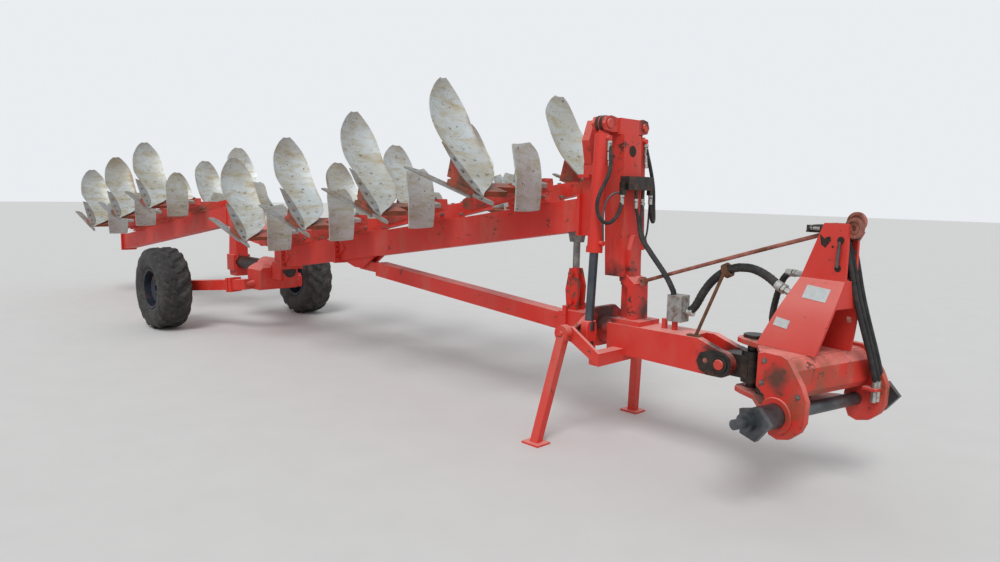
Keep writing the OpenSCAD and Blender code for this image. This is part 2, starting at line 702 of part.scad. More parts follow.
module mast_column() {
    foot_z = drawbar_top_z + seat;
    red() placed() difference() {
        union() {
            plate_xz(0, column_w, [[column_low_x[0], column_low_z], [column_low_x[1], column_low_z],
                [column_top_x[1], column_top_z], [column_top_x[0], column_top_z]]);
            plate_xz(0, 150, [[5585, column_low_z + 20], [5630, column_low_z + 20], [5704, 1030],
                [5712, foot_z + 5], [5662, foot_z + 5], [5654, 1000], [5590, 1040]]);
            plate_xz(0, 44, [[foot_x[0] + 10, foot_z + 5], [5680, foot_z + 5], [5680, 1010],
                [5620, column_low_z + 10], [foot_x[0] + 10, column_low_z + 10]]);
            box(foot_x[0], foot_x[1], -column_w / 2 - 20, column_w / 2 + 20, foot_z, foot_z + column_foot_t);
            plate_yz(5590, 64, [[-60, 1015], [60, 1015], [60, 1240], [22, 1330], [-22, 1330], [-60, 1240]]);
        }
        bar_x(5540, 5640, 0, 1858, 60);
    }
}

// Mast head: crosshead with the ears that hold the tops of the two cylinders
function rod_tilt() = atan((crank_r - cyl_top_y) / (mast_eye_z - roll_z));

module mast_head() {
    z0 = column_top_z + seat;
    red() placed() {
        box(rod_x - 50, rod_x + 68, -column_w / 2 - 10, column_w / 2 + 10, z0, z0 + 100);
        for (s = [-1, 1], x = [rod_x - 52, rod_x + 32])
            plate_yz(x, 20, [[0, z0 + 20], [0, z0 + 80], [s * (cyl_top_y - 20), mast_eye_z + 50],
                [s * (cyl_top_y + 30), mast_eye_z + 40], [s * (cyl_top_y + 50), mast_eye_z],
                [s * (cyl_top_y + 30), mast_eye_z - 40], [s * (cyl_top_y - 30), mast_eye_z - 50]]);
        for (s = [-1, 1]) bar_x(rod_x - 60, rod_x + 60, s * cyl_top_y, mast_eye_z, pin_d);
    }
}

// The cylinders' own frame: the top eye is the origin and the rod runs down
module at_cylinder(side) {
    placed() translate([rod_x, side * cyl_top_y, mast_eye_z]) rotate([side * rod_tilt(), 0, 0]) children();
}

function cylinder_reach() = norm([crank_r - cyl_top_y, mast_eye_z - roll_z]);

module turnover_barrels() {
    red() for (side = [-1, 1]) at_cylinder(side) difference() {
        union() {
            bar_x(-30, 30, 0, 0, eye_d);
            bar_z(-barrel_foot, -62, 0, 0, barrel_d);
            bar_z(-63, -20, 0, 0, 56);
            bar_z(-barrel_foot, -barrel_foot + 40, 0, 0, barrel_d + 12);
            translate([0, 0, -barrel_foot + 60]) rotate([0, 90, 0]) cylinder(h = barrel_d / 2 + 22, d = 34);
            translate([0, 0, -90]) rotate([0, 90, 0]) cylinder(h = barrel_d / 2 + 22, d = 34);
        }
        bar_x(-31, 31, 0, 0, pin_d + 2 * run);
        bar_z(-barrel_foot - 1, -120, 0, 0, rod_d + 2 * run);
    }
}

module rod(side) {
    reach = cylinder_reach();
    dark() at_cylinder(side) difference() {
        union() {
            bar_z(-reach + 40, -reach + 940, 0, 0, rod_d);
            bar_x(-rod_eye_t / 2, rod_eye_t / 2, 0, -reach, 96);
            bar_z(-reach + 30, -reach + 85, 0, 0, 74);
        }
        bar_x(-rod_eye_t, rod_eye_t, 0, -reach, 52);
    }
}

// Valve block on the column's front, and the post that carries the hoses
module valve_block() {
    z0 = 1615;
    z1 = 1700;
    dark() placed() {
        plate_xz(0, 260, [[column_front(z0) + seat, z0], [5672, z0], [5672, z1], [column_front(z1) + seat, z1]]);
        for (y = valve_nipples_y) bar_z(1560, z0 + 1, valve_nipple_x, y, 22);
        for (s = [-1, 1]) box(5627, 5653, s > 0 ? 129 : -168, s > 0 ? 168 : -129, 1584, 1664);
    }
}

// An eight-sided bar between two places
module octagon_bar(a, b, d0) {
    d = b - a;
    translate(a) rotate([0, acos(d[2] / norm(d)), atan2(d[1], d[0])])
        linear_extrude(norm(d)) polygon([for (k = [0:7]) d0 / 2 * [cos(k * 45), sin(k * 45)]]);
}

// Post with a ring of sixteen sides that the hose bundle lies in
module hose_post() {
    function ring(r) = [for (k = [0:15]) r * [cos(k * 22.5), sin(k * 22.5)]];
    red() placed() {
        box(6110, 6190, -110, -72, drawbar_top_z + seat, drawbar_top_z + 10);
        octagon_bar([6160, -91, drawbar_top_z + 3], post_hold + [-4, -hose_d / 2 - 10, -14], 20);
        translate(post_hold) rotate([0, 90 - post_hold_slope, 0]) linear_extrude(34, center = true)
            difference() {
                polygon(ring(hose_d / 2 + 18));
                polygon(ring(hose_d / 2 + 3));
            }
    }
}

// Hose: an eight-sided tube along a route of points
module hose(route, d) {
    sides = 8;
    last = len(route) - 1;
    function along(i) = let (v = route[min(i + 1, last)] - route[max(i - 1, 0)]) v / norm(v);
    function across(t) = let (a = abs(t[1]) > 0.9 ? [0, 0, 1] : [0, 1, 0], v = cross(a, t)) v / norm(v);
    points = [for (i = [0:last], k = [0:sides - 1])
        let (t = along(i), u = across(t), v = cross(t, u), a = k * 360 / sides)
        route[i] + d / 2 * (cos(a) * u + sin(a) * v)];
    walls = [for (i = [0:last - 1], k = [0:sides - 1])
        let (a = i * sides + k, b = i * sides + (k + 1) % sides) [a, a + sides, b + sides, b]];
    caps = [[for (k = [0:sides - 1]) k], [for (k = [sides - 1:-1:0]) last * sides + k]];
    polyhedron(points = points, faces = concat(walls, caps));
}

// One of the valve's two hoses, which lie side by side once they have come together
module valve_hose(k) {
    x = valve_nipple_x;
    y = valve_nipples_y[k];
    offset = [0, (k - 0.5) * (valve_hose_d + 2), 0];
    top = [[x, y, 1559.7], [x, y, 1538], [x + 3, mix(y, offset[1], 0.25), 1495],
        [x + 9, mix(y, offset[1], 0.75), 1450], [5674, offset[1] - 1, 1408]];
    dark() placed() hose(concat(top, [for (p = bundle_route) p + offset]), valve_hose_d);
}

module drawbar_hose(route, d, side = -1) {
    dark() placed() mirror([0, side > 0 ? 1 : 0, 0]) hose(route, d);
}

// The three hoses over the tower's front lie side by side
module tower_hose(k) {
    dark() at_headstock() translate([0, (k - 1) * (tower_hose_d + 6), 0]) hose(tower_route, tower_hose_d);
}

// Draft beam: square box from the yoke's block to the bracket under the front beam
module draft_beam() {
    x0 = yoke_x0 - seat;
    z0 = roll_z + 5;
    xr = 2620;
    zr = 890;
    red() placed() {
        square_bar([x0 - 8, 0, z0], [2900, 0, mix(z0, zr, (x0 - 2900) / (x0 - xr))], draft_side, draft_side);
        difference() {
            union() {
                plate_xz(0, 60, [[xr + 340, zr - 60], [xr + 340, zr + 20], [xr, zr + 45],
                    [xr - 45, zr], [xr, zr - 45]]);
                bar_y(-30, 30, xr, zr, 90);
            }
            bar_y(-40, 40, xr, zr, 40);
        }
        bar_y(-62, 62, xr, zr, 39);
        for (s = [-1, 1]) plate_xz(s * 46, 30, [[xr - 60, zr - 30], [xr + 60, zr - 30],
            [splice_x + 560, front_low(splice_x + 560) - seat],
            [splice_x + 60, front_low(splice_x + 60) - seat]]);
        box(x0 - 40, x0, -78, 78, z0 - 78, z0 + 78);
    }
}

// Adjusting strut between the yoke's block and the front beam
module front_strut() {
    x = yoke_x0 + 40;
    top = front_low(x) - seat;
    rise = 60 * tan(beam_slope);
    red() placed() {
        for (s = [-1, 1]) plate_xz(s * 32, 20, [[x - 40, roll_z + 95 + seat], [x + 50, roll_z + 95 + seat],
            [x + 60, 960], [x + 25, 1080], [x - 25, 1080], [x - 55, 930]]);
        bar_y(-60, 60, x, 1040, 44);
        bar_y(-60, 60, x, 850, 40);
        bar_z(1010, top - 60, x, 0, 48);
        plate_xz(0, 44, [[x - 45, top - 70], [x + 45, top - 70], [x + 60, top + rise], [x - 60, top - rise]]);
    }
}

// Cross piece between the drawbar's fork and the headstock: one pin along Y, one upright
module pivot_cross() {
    half = drawbar_w / 2;
    dark() placed() {
        bar_y(-half - 12, half + 12, tip_x, tip_z, tip_pin_d);
        bar_y(-fork_gap / 2 + 2, fork_gap / 2 - 2, tip_x, tip_z, 130);
        box(tip_x, steer_x, -fork_gap / 2 + 2, fork_gap / 2 - 2, tip_z - 65, tip_z + 65);
        bar_z(tip_z - 90, tip_z + 90, steer_x, 0, 130);
        bar_z(lug_low_z - 12, lug_high_z + 42, steer_x, 0, steer_pin_d);
    }
}

// The headstock's own frame: the steering pin is the origin, and X points ahead
module at_headstock() { placed() translate([steer_x, 0, 0]) rotate([0, 0, -steer_rest]) children(); }

// Headstock frame: bearing lugs for the upright pin, cross box and the two side plates
module headstock_frame() {
    top = lug_high_z + 30;
    red() at_headstock() difference() {
        union() {
            for (z = [lug_low_z, lug_high_z]) {
                cylinder_lug(z);
            }
            box(490, 568, 262, cheek_y + 30, 590, 610 - seat);
            for (k = [-1:1]) bar_z(532, 591, 551, 312 + k * (tower_hose_d + 6), tower_hose_d);
            plate_xz(0, 2 * cheek_y, [[150, lug_low_z], [300, lug_low_z], [460, 575], [480, 700], [440, 770],
                [150, top]]);
            for (s = [-1, 1])
                plate_xz(s * (cheek_y + 15), 30, [[110, 560], [160, 500], [330, 420], [430, 400], [500, 430],
                    [520, 520], [500, 700], [440, 775], [180, top], [110, top - 30]]);
        }
        bar_z(lug_low_z - 30, top + 30, 0, 0, steer_pin_d + 2 * run);
        bar_y(-cheek_y - 40, cheek_y + 40, shaft_x, hitch_z, shaft_bore_d);
        box(shaft_x - 70, shaft_x + 200, -cheek_y + 20, cheek_y - 20, hitch_z - 150, hitch_z + 52);
    }
}

module cylinder_lug(z) {
    translate([0, 0, z]) linear_extrude(30) hull() {
        circle(d = 150, $fn = 32);
        translate([170, 0]) square([20, 220], center = true);
    }
}

// Tower: two side plates that narrow to the top link bore, with a closed back and a hood
module headstock_tower() {
    foot = lug_high_z + 30 + seat;
    half = 150;
    side = [[60, foot], [440, foot], [500, 1150], [470, 1460], [310, 1470], [190, 1150]];
    red() at_headstock() difference() {
        union() {
            for (s = [-1, 1]) plate_xz(s * (half - 10), 20, side);
            plate_xz(0, 2 * half,
                [[60, foot], [85, foot], [215, 1150], [330, 1465], [310, 1470], [190, 1150]]);
            plate_xz(0, 2 * half,
                [[420, 1010], [500, 1150], [497, 1180], [475, 1180], [475, 1150], [400, 1015]]);
            for (s = [-1, 1]) difference() {
                bar_y(s * half - 12, s * half + 12, 470, 1500, 110);
                bar_y(s * half - 13, s * half + 13, 470, 1500, 64);
            }
        }
        bar_y(-half - 1, half + 1, top_link_x, top_link_z, top_link_d);
        for (s = [-1, 1]) hull() for (z = [1240, 1330])
            bar_y(s * half - 21, s * half + 21, 430, z, 36, $fn = 32);
    }
}

// Hitch shaft with its two pins, bushes and forged end cams
module hitch_shaft() {
    end = hitch_w / 2;
    dark() at_headstock() {
        bar_y(-end + 60, end - 60, shaft_x, hitch_z, 70);
        for (s = [-1, 1]) mirror([0, s > 0 ? 1 : 0, 0]) {
            bar_y(-end + 70, -cheek_y - 30 - seat, shaft_x, hitch_z, 124);
            bar_y(-end, -end + 71, shaft_x, hitch_z, 90);
            bar_y(-end - 70, -end + 1, shaft_x, hitch_z, hitch_pin_d);
            plate_xz(-end + 50, 26, [[shaft_x - 60, hitch_z + 50], [shaft_x + 50, hitch_z + 80],
                [shaft_x + 120, hitch_z + 10], [shaft_x + 40, hitch_z - 90], [shaft_x - 50, hitch_z - 70]]);
        }
    }
}

drawbar();
mast_column();
mast_head();
valve_block();
turnover_barrels();
rod(-1);  // right_rod
rod(1);  // left_rod
stand(-1);  // right_stand
stand(1);  // left_stand
hose_post();
turnover_yoke();
draft_beam();
front_strut();
front_post();
front_beam();
rear_link();
rear_beam();
carriers(true);  // front_carriers
carriers(false);  // rear_carriers
body_legs(true, -1);  // right_front_legs
body_legs(false, -1);  // right_rear_legs
body_legs(true, 1);  // left_front_legs
body_legs(false, 1);  // left_rear_legs
body_boards(true, -1);  // right_front_boards
body_boards(false, -1);  // right_rear_boards
body_boards(true, 1);  // left_front_boards
body_boards(false, 1);  // left_rear_boards
body_shares(true, -1);  // right_front_shares
body_shares(false, -1);  // right_rear_shares
body_shares(true, 1);  // left_front_shares
body_shares(false, 1);  // left_rear_shares
body_skimmers(true, -1);  // right_front_skimmers
body_skimmers(false, -1);  // right_rear_skimmers
body_skimmers(true, 1);  // left_front_skimmers
body_skimmers(false, 1);  // left_rear_skimmers
roll_tube();
carriage_hub();
wheel_arms();
dark() at_wheel(-1) tyre();  // right_tyre
dark() at_wheel(1) tyre();  // left_tyre
dark() at_wheel(-1) rim();  // right_rim
dark() at_wheel(1) rim();  // left_rim
pivot_cross();
headstock_frame();
headstock_tower();
hitch_shaft();
valve_hose(0);  // valve_hose_a
valve_hose(1);  // valve_hose_b
drawbar_hose(post_route, hose_d);  // post_hose
drawbar_hose(loop_route, loop_hose_d);  // right_loop_hose
drawbar_hose(loop_route, loop_hose_d, 1);  // left_loop_hose
dark() at_headstock() hose(back_route, back_hose_d);  // tower_back_hose
tower_hose(0);  // tower_hose_a
tower_hose(1);  // tower_hose_b
tower_hose(2);  // tower_hose_c
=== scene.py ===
"""Semi-mounted reversible plough, parked half turned over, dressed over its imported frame."""
import math

import bpy
import numpy as np
from mathutils import Matrix


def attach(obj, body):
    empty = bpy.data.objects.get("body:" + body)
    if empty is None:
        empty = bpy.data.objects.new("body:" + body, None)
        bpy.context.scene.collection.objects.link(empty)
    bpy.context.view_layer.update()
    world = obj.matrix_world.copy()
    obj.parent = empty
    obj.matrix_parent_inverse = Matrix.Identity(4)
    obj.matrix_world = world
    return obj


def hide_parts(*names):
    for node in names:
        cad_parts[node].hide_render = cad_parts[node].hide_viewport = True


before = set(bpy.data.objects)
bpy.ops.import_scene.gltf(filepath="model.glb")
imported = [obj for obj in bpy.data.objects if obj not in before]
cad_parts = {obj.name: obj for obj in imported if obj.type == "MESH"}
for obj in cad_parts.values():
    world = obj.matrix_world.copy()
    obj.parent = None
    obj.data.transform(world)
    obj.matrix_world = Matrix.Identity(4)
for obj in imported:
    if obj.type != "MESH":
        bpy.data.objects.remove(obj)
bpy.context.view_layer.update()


# Camera: a phone held at eye height, ahead of the plough and to its right.
# Its place, tilt and roll come from the wheels and stands in the photograph.
CAMERA_PLACE = np.array([6.6908, -3.8715, 1.5940])
YAW, PITCH, ROLL = math.radians(135.20), math.radians(7.053), math.radians(1.180)
FOCAL_PX, FRAME_W, SENSOR_MM = 728.8, 1000.0, 36.0


def camera_axes():
    """Right, up and forward of the camera: forward from yaw and pitch, then a roll about it."""
    forward = np.array([math.cos(YAW) * math.cos(PITCH), math.sin(YAW) * math.cos(PITCH), -math.sin(PITCH)])
    right = np.cross(forward, [0, 0, 1])
    right /= np.linalg.norm(right)
    up = np.cross(right, forward)
    c, s = math.cos(ROLL), math.sin(ROLL)
    return c * right + s * up, -s * right + c * up, forward


right, up, forward = camera_axes()
lens = bpy.data.cameras.new("portrait_lens")
lens.sensor_width = SENSOR_MM
lens.lens = FOCAL_PX / FRAME_W * SENSOR_MM
lens.clip_start, lens.clip_end = 0.05, 200
camera = bpy.data.objects.new("portrait_camera", lens)
bpy.context.collection.objects.link(camera)
pose = np.eye(4)
pose[:3, 0], pose[:3, 1], pose[:3, 2], pose[:3, 3] = right, up, -forward, CAMERA_PLACE
camera.matrix_world = Matrix(pose.tolist())
bpy.context.scene.camera = camera


# Hoses: rubber hydraulic hoses in spiral wrap, each from its fitting to the next.
# Every route repeats its solid's points, and the post hose goes on to the tower's back.
CENTRE_X = 1.640
STEER_X, STEER_TURN = 6.480, math.radians(-13)
HOSE_SIDES, WRAP_PITCH, FINE_STEPS = 14, 0.026, 14
VALVE_D, POST_D, LOOP_D, BACK_D, TOWER_D = 0.022, 0.050, 0.024, 0.036, 0.026


def row_points(points):
    """Millimetres ahead of the wheel axle made metres in the row frame."""
    return np.asarray(points, float) / 1000 - [CENTRE_X, 0, 0]


def at_headstock(points):
    """Metres in the steered headstock's own frame, turned about its upright pin into the row frame."""
    p = np.asarray(points, float)
    c, s = math.cos(STEER_TURN), math.sin(STEER_TURN)
    return np.stack([p[..., 0] * c - p[..., 1] * s + STEER_X - CENTRE_X, p[..., 0] * s + p[..., 1] * c,
                     p[..., 2] + 0 * p[..., 0]], -1)


def curve_rows(table, count):
    """Rows between a table's rows on a Catmull-Rom curve, evenly spread over them."""
    n = len(table)
    at = np.linspace(0, n - 1, count)
    i = np.clip(at.astype(int), 0, n - 2)
    t = (at - i)[:, None]
    before, here, after, beyond = [table[np.clip(i + k, 0, n - 1)] for k in (-1, 0, 1, 2)]
    return 0.5 * (2 * here + (after - before) * t + (2 * before - 5 * here + 4 * after - beyond) * t ** 2
                  + (3 * here - before - 3 * after + beyond) * t ** 3)


def surface(name, verts, faces, smooth=True, angle=35.0):
    """A mesh object at the origin from arrays of corners and faces, shaded smooth below an angle."""
    mesh = bpy.data.meshes.new(name)
    mesh.from_pydata(np.asarray(verts, float).tolist(), [], [list(map(int, f)) for f in faces])
    mesh.validate()
    if smooth:
        mesh.polygons.foreach_set("use_smooth", [True] * len(mesh.polygons))
        mesh.set_sharp_from_angle(angle=math.radians(angle))
    mesh.update()
    piece = bpy.data.objects.new(name, mesh)
    bpy.context.collection.objects.link(piece)
    return piece


def uv_from(piece, shares):
    """A UV map that gives each corner its row of a table."""
    loops = np.empty(len(piece.data.loops), int)
    piece.data.loops.foreach_get("vertex_index", loops)
    layer = piece.data.uv_layers.new(name="shares")
    layer.data.foreach_set("uv", np.asarray(shares, float)[loops].ravel())


def walls(grid):
    """Quads between the rows of a grid of corner numbers, where each row is a closed ring."""
    nxt = np.roll(grid, -1, 1)
    return np.stack([grid[:-1], nxt[:-1], nxt[1:], grid[1:]], -1).reshape(-1, 4).tolist()


def capped(grid):
    """The same walls, with a face over each end."""
    return walls(grid) + [grid[0, ::-1].tolist(), grid[-1].tolist()]


def tube_part(path, radius, sides, across, wrap=0.0):
    """Rings round a path, capped at both ends: the radius times one less a saw that winds along it."""
    along = np.concatenate([[0], np.cumsum(np.linalg.norm(np.diff(path, axis=0), axis=1))])
    way = np.gradient(path, axis=0)
    way /= np.linalg.norm(way, axis=1, keepdims=True)
    side = np.cross(np.asarray(across, float), way)
    side /= np.linalg.norm(side, axis=1, keepdims=True)
    third = np.cross(way, side)
    turn = np.arange(sides) * 2 * math.pi / sides
    saw = (along[:, None] / WRAP_PITCH + turn / (2 * math.pi)) % 1.0
    r = radius * (1 - wrap * (np.abs(saw - 0.5) * 2) ** 6)
    verts = path[:, None, :] + r[..., None] * (np.cos(turn)[None, :, None] * side[:, None, :]
                                               + np.sin(turn)[None, :, None] * third[:, None, :])
    shares = np.stack(np.broadcast_arrays(turn / (2 * math.pi), along[:, None]), -1)
    faces = capped(np.arange(len(path) * sides).reshape(-1, sides))
    return verts.reshape(-1, 3), faces, shares.reshape(-1, 2)


def hose(name, node, route, diameter, body, across=(0, 1, 0), wrap=0.0, steps=6):
    """A hose on a smooth curve through its route, in the place of its solid."""
    path = curve_rows(route, (len(route) - 1) * steps + 1)
    verts, faces, shares = tube_part(path, diameter / 2, HOSE_SIDES, across, wrap)
    piece = surface(name, verts, faces, angle=70)
    uv_from(piece, shares)
    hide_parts(node)
    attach(piece, body)
    return piece


VALVE_Y, BUNDLE_GAP = (-31, 41), 24
bundle = [[5685, -4, 1360], [5716, -14, 1300], [5772, -27, 1243], [5828, -34, 1186], [5882, -37, 1128],
          [5924, -36, 1074], [5948, -31, 1030], [5957, -24, 1003], [5957, -24, 985.3]]
hoses = []
for letter, y, shift in zip("ab", VALVE_Y, (-BUNDLE_GAP / 2, BUNDLE_GAP / 2)):
    top = [[5660, y, 1559.7], [5660, y, 1538], [5663, y * 0.75 + shift * 0.25, 1495],
           [5669, y * 0.25 + shift * 0.75, 1450], [5674, shift - 1, 1408]]
    route = row_points(top + [[a, b + shift, c] for a, b, c in bundle])
    hoses.append(hose("valve_hose_" + letter + "_rubber", "valve_hose_" + letter, route, VALVE_D, "drawbar",
                      wrap=0.12, steps=FINE_STEPS))
post_route = row_points([
    [6025.3, 0, 895], [6048, 0, 895], [6072, 0, 908], [6095, 0, 932], [6116, 0, 968], [6142, 0, 1018],
    [6185, 0, 1080], [6235, 0, 1130], [6290, 0, 1167], [6345, 0, 1186], [6375, 0, 1190],
    [6430, -4, 1191], [6490, -12, 1178], [6550, -22, 1152], [6602, -31, 1120], [6645, -38, 1100]])
hoses.append(hose("post_hose_rubber", "post_hose", post_route, POST_D, "drawbar", wrap=0.10,
                  steps=FINE_STEPS))
loop = np.array([
    [5640, -155, 1583.7], [5640, -155, 1556], [5639, -161, 1515], [5633, -177, 1468], [5622, -207, 1429],
    [5608, -245, 1411], [5590, -281, 1426], [5574, -302, 1468], [5567, -306, 1520], [5571, -296, 1575],
    [5581, -273, 1630], [5590, -245, 1682], [5592, -222, 1735], [5586, -208, 1790], [5574, -200, 1845],
    [5564, -197, 1890], [5562, -197, 1912]])
for side_name, mirror in (("right", 1), ("left", -1)):
    hoses.append(hose(side_name + "_loop_rubber", side_name + "_loop_hose", row_points(loop * [1, mirror, 1]),
                      LOOP_D, "drawbar", across=(1, 0, 0)))
back = np.array([[196, 60, 1185], [166, 60, 1185], [130, 60, 1166], [102, 60, 1120], [84, 60, 1060],
                 [70, 60, 1000], [62, 60, 950], [60, 60, 912], [68, 60, 892], [84, 60, 890]]) / 1000
hoses.append(hose("tower_back_rubber", "tower_back_hose", at_headstock(back), BACK_D, "headstock",
                  wrap=0.10, steps=FINE_STEPS))
tower_route = np.array([
    [326, 0, 1441], [372, 0, 1446], [418, 0, 1447], [460, 2, 1437], [492, 6, 1412], [516, 12, 1370],
    [532, 22, 1310], [542, 36, 1240], [548, 58, 1160], [552, 90, 1075], [554, 130, 990], [555, 174, 905],
    [555, 220, 820], [554, 262, 740], [552, 300, 666], [551, 312, 636], [551, 312, 610]]) / 1000
TOWER_HOSES = [(letter, (k - 1) * 0.032) for k, letter in enumerate("abc")]
for letter, shift in TOWER_HOSES:
    hoses.append(hose("tower_" + letter + "_rubber", "tower_hose_" + letter,
                      at_headstock(tower_route + [0, shift, 0]), TOWER_D, "headstock"))


# Studio: a wide pale floor, an even pale sky and one large soft lamp from the camera's left.
# Camera and glossy rays see a paler sky than the one that lights the plough.
FLOOR_HALF = 60.0
FLOOR_GREY, FLOOR_PALE = (0.60, 0.60, 0.59), (0.66, 0.66, 0.65)
SKY_LIGHT, SKY_STRENGTH, SKY_SEEN = (0.97, 0.98, 1.0, 1), 0.62, (0.82, 0.85, 0.88, 1)
LAMP_STRENGTH, LAMP_SPREAD, LAMP_TURN = 1.55, 25, (38, 12, 20)


class Finish:
    """A material on Object coordinates, with short calls for the nodes that it uses."""

    def __init__(self, name, metallic=0.0):
        self.material = bpy.data.materials.new(name)
        self.material.use_nodes = True
        self.tree = self.material.node_tree
        self.shader = self.tree.nodes["Principled BSDF"]
        self.shader.inputs["Metallic"].default_value = metallic
        self.coordinates = self.tree.nodes.new("ShaderNodeTexCoord")
        self.place = self.coordinates.outputs["Object"]

    def feed(self, socket, value):
        if isinstance(value, bpy.types.NodeSocket):
            self.tree.links.new(value, socket)
        elif socket.type == "RGBA":
            socket.default_value = (*value, 1.0)
        else:
            socket.default_value = value

    def node(self, kind, sockets, **settings):
        """A new node with its settings, then a value or a link in each of its sockets that is named."""
        made = self.tree.nodes.new(kind)
        for key, value in settings.items():
            setattr(made, key, value)
        for key, value in sockets.items():
            self.feed(made.inputs[key], value)
        return made.outputs

    def stretch(self, scale, turn=(0, 0, 0)):
        """Coordinates turned and scaled, so that a pattern can be drawn out one way."""
        return self.node("ShaderNodeMapping", {"Vector": self.place, "Scale": scale,
                                               "Rotation": [math.radians(a) for a in turn]})["Vector"]

    def noise(self, scale, detail=4.0, rough=0.55, place=None, warp=0.0):
        return self.node("ShaderNodeTexNoise", {"Vector": place or self.place, "Scale": scale,
                                                "Detail": detail, "Roughness": rough,
                                                "Distortion": warp})["Fac"]

    def step(self, value, low, high):
        """0 below low, 1 above high and straight between."""
        return self.node("ShaderNodeMapRange", {"Value": value, "From Min": low, "From Max": high})["Result"]

    def maths(self, kind, a, b):
        return self.node("ShaderNodeMath", {0: a, 1: b}, operation=kind)[0]

    def plus(self, a, b):
        return self.maths("ADD", a, b)

    def minus(self, a, b):
        return self.maths("SUBTRACT", a, b)

    def times(self, a, b):
        return self.maths("MULTIPLY", a, b)

    def mix(self, amount, a, b):
        return self.node("ShaderNodeMix", {0: amount, 6: a, 7: b}, data_type="RGBA")[2]

    def layer(self, colour, over, mask, strength):
        """A second colour over the first where a mask is high, at a part of its strength."""
        return self.mix(self.times(mask, strength), colour, over)

    def axis(self, vector, which):
        return self.node("ShaderNodeSeparateXYZ", {0: vector})[which]

    def bump(self, height, strength, distance):
        made = self.node("ShaderNodeBump", {"Height": height, "Strength": strength, "Distance": distance})
        self.feed(self.shader.inputs["Normal"], made["Normal"])

    def finish(self, colour, roughness):
        self.feed(self.shader.inputs["Base Color"], colour)
        self.feed(self.shader.inputs["Roughness"], roughness)
        return self.material


corners = [(x * FLOOR_HALF, y * FLOOR_HALF, 0) for x, y in ((-1, -1), (1, -1), (1, 1), (-1, 1))]
floor = surface("studio_floor", corners, [(0, 1, 2, 3)], smooth=False)
pale = Finish("pale_floor")
floor.data.materials.append(pale.finish(pale.mix(pale.noise(3.0, 6.0, 0.6), FLOOR_GREY, FLOOR_PALE), 0.9))

sky = bpy.data.worlds.new("pale_sky")
bpy.context.scene.world = sky
sky.use_nodes = True
tree = sky.node_tree
light = tree.nodes["Background"]
seen = tree.nodes.new("ShaderNodeBackground")
for shade, colour, strength in ((light, SKY_LIGHT, SKY_STRENGTH), (seen, SKY_SEEN, 1.0)):
    shade.inputs["Color"].default_value = colour
    shade.inputs["Strength"].default_value = strength
ray = tree.nodes.new("ShaderNodeLightPath")
either = tree.nodes.new("ShaderNodeMath")
either.operation = "MAXIMUM"
blend = tree.nodes.new("ShaderNodeMixShader")
for source, socket in ((ray.outputs["Is Camera Ray"], either.inputs[0]),
                       (ray.outputs["Is Glossy Ray"], either.inputs[1]),
                       (either.outputs[0], blend.inputs["Fac"]), (light.outputs[0], blend.inputs[1]),
                       (seen.outputs[0], blend.inputs[2]),
                       (blend.outputs[0], tree.nodes["World Output"].inputs["Surface"])):
    tree.links.new(source, socket)

lamp = bpy.data.lights.new("soft_lamp", "SUN")
lamp.energy = LAMP_STRENGTH
lamp.angle = math.radians(LAMP_SPREAD)
lamp_piece = bpy.data.objects.new("soft_lamp", lamp)
lamp_piece.rotation_euler = [math.radians(a) for a in LAMP_TURN]
bpy.context.collection.objects.link(lamp_piece)
bpy.context.scene.view_settings.view_transform = "Standard"


# Red paint: sprayed over blasted steel, made pale pink where it faces up as a painted sky sheen, faded in
# patches and chipped to rust in places.
# Beams, carriers, mast, drawbar, stands, wheel arms and headstock all carry it.
# The second colour is the pale pink of a painted sky sheen on upward faces, and of faded paint in noise
# patches.
RED, FADED_AND_SHEEN, RUST = (0.62, 0.018, 0.007), (0.80, 0.300, 0.262), (0.085, 0.032, 0.016)
# Near-black of grease on the pins, and of painted shade in the mast's spots.
GREASE_AND_SHADE, CAKED = (0.016, 0.011, 0.009), (0.075, 0.036, 0.022)
PRIMER, DUST, BLOOM = (0.045, 0.030, 0.026), (0.34, 0.22, 0.16), (0.23, 0.075, 0.035)


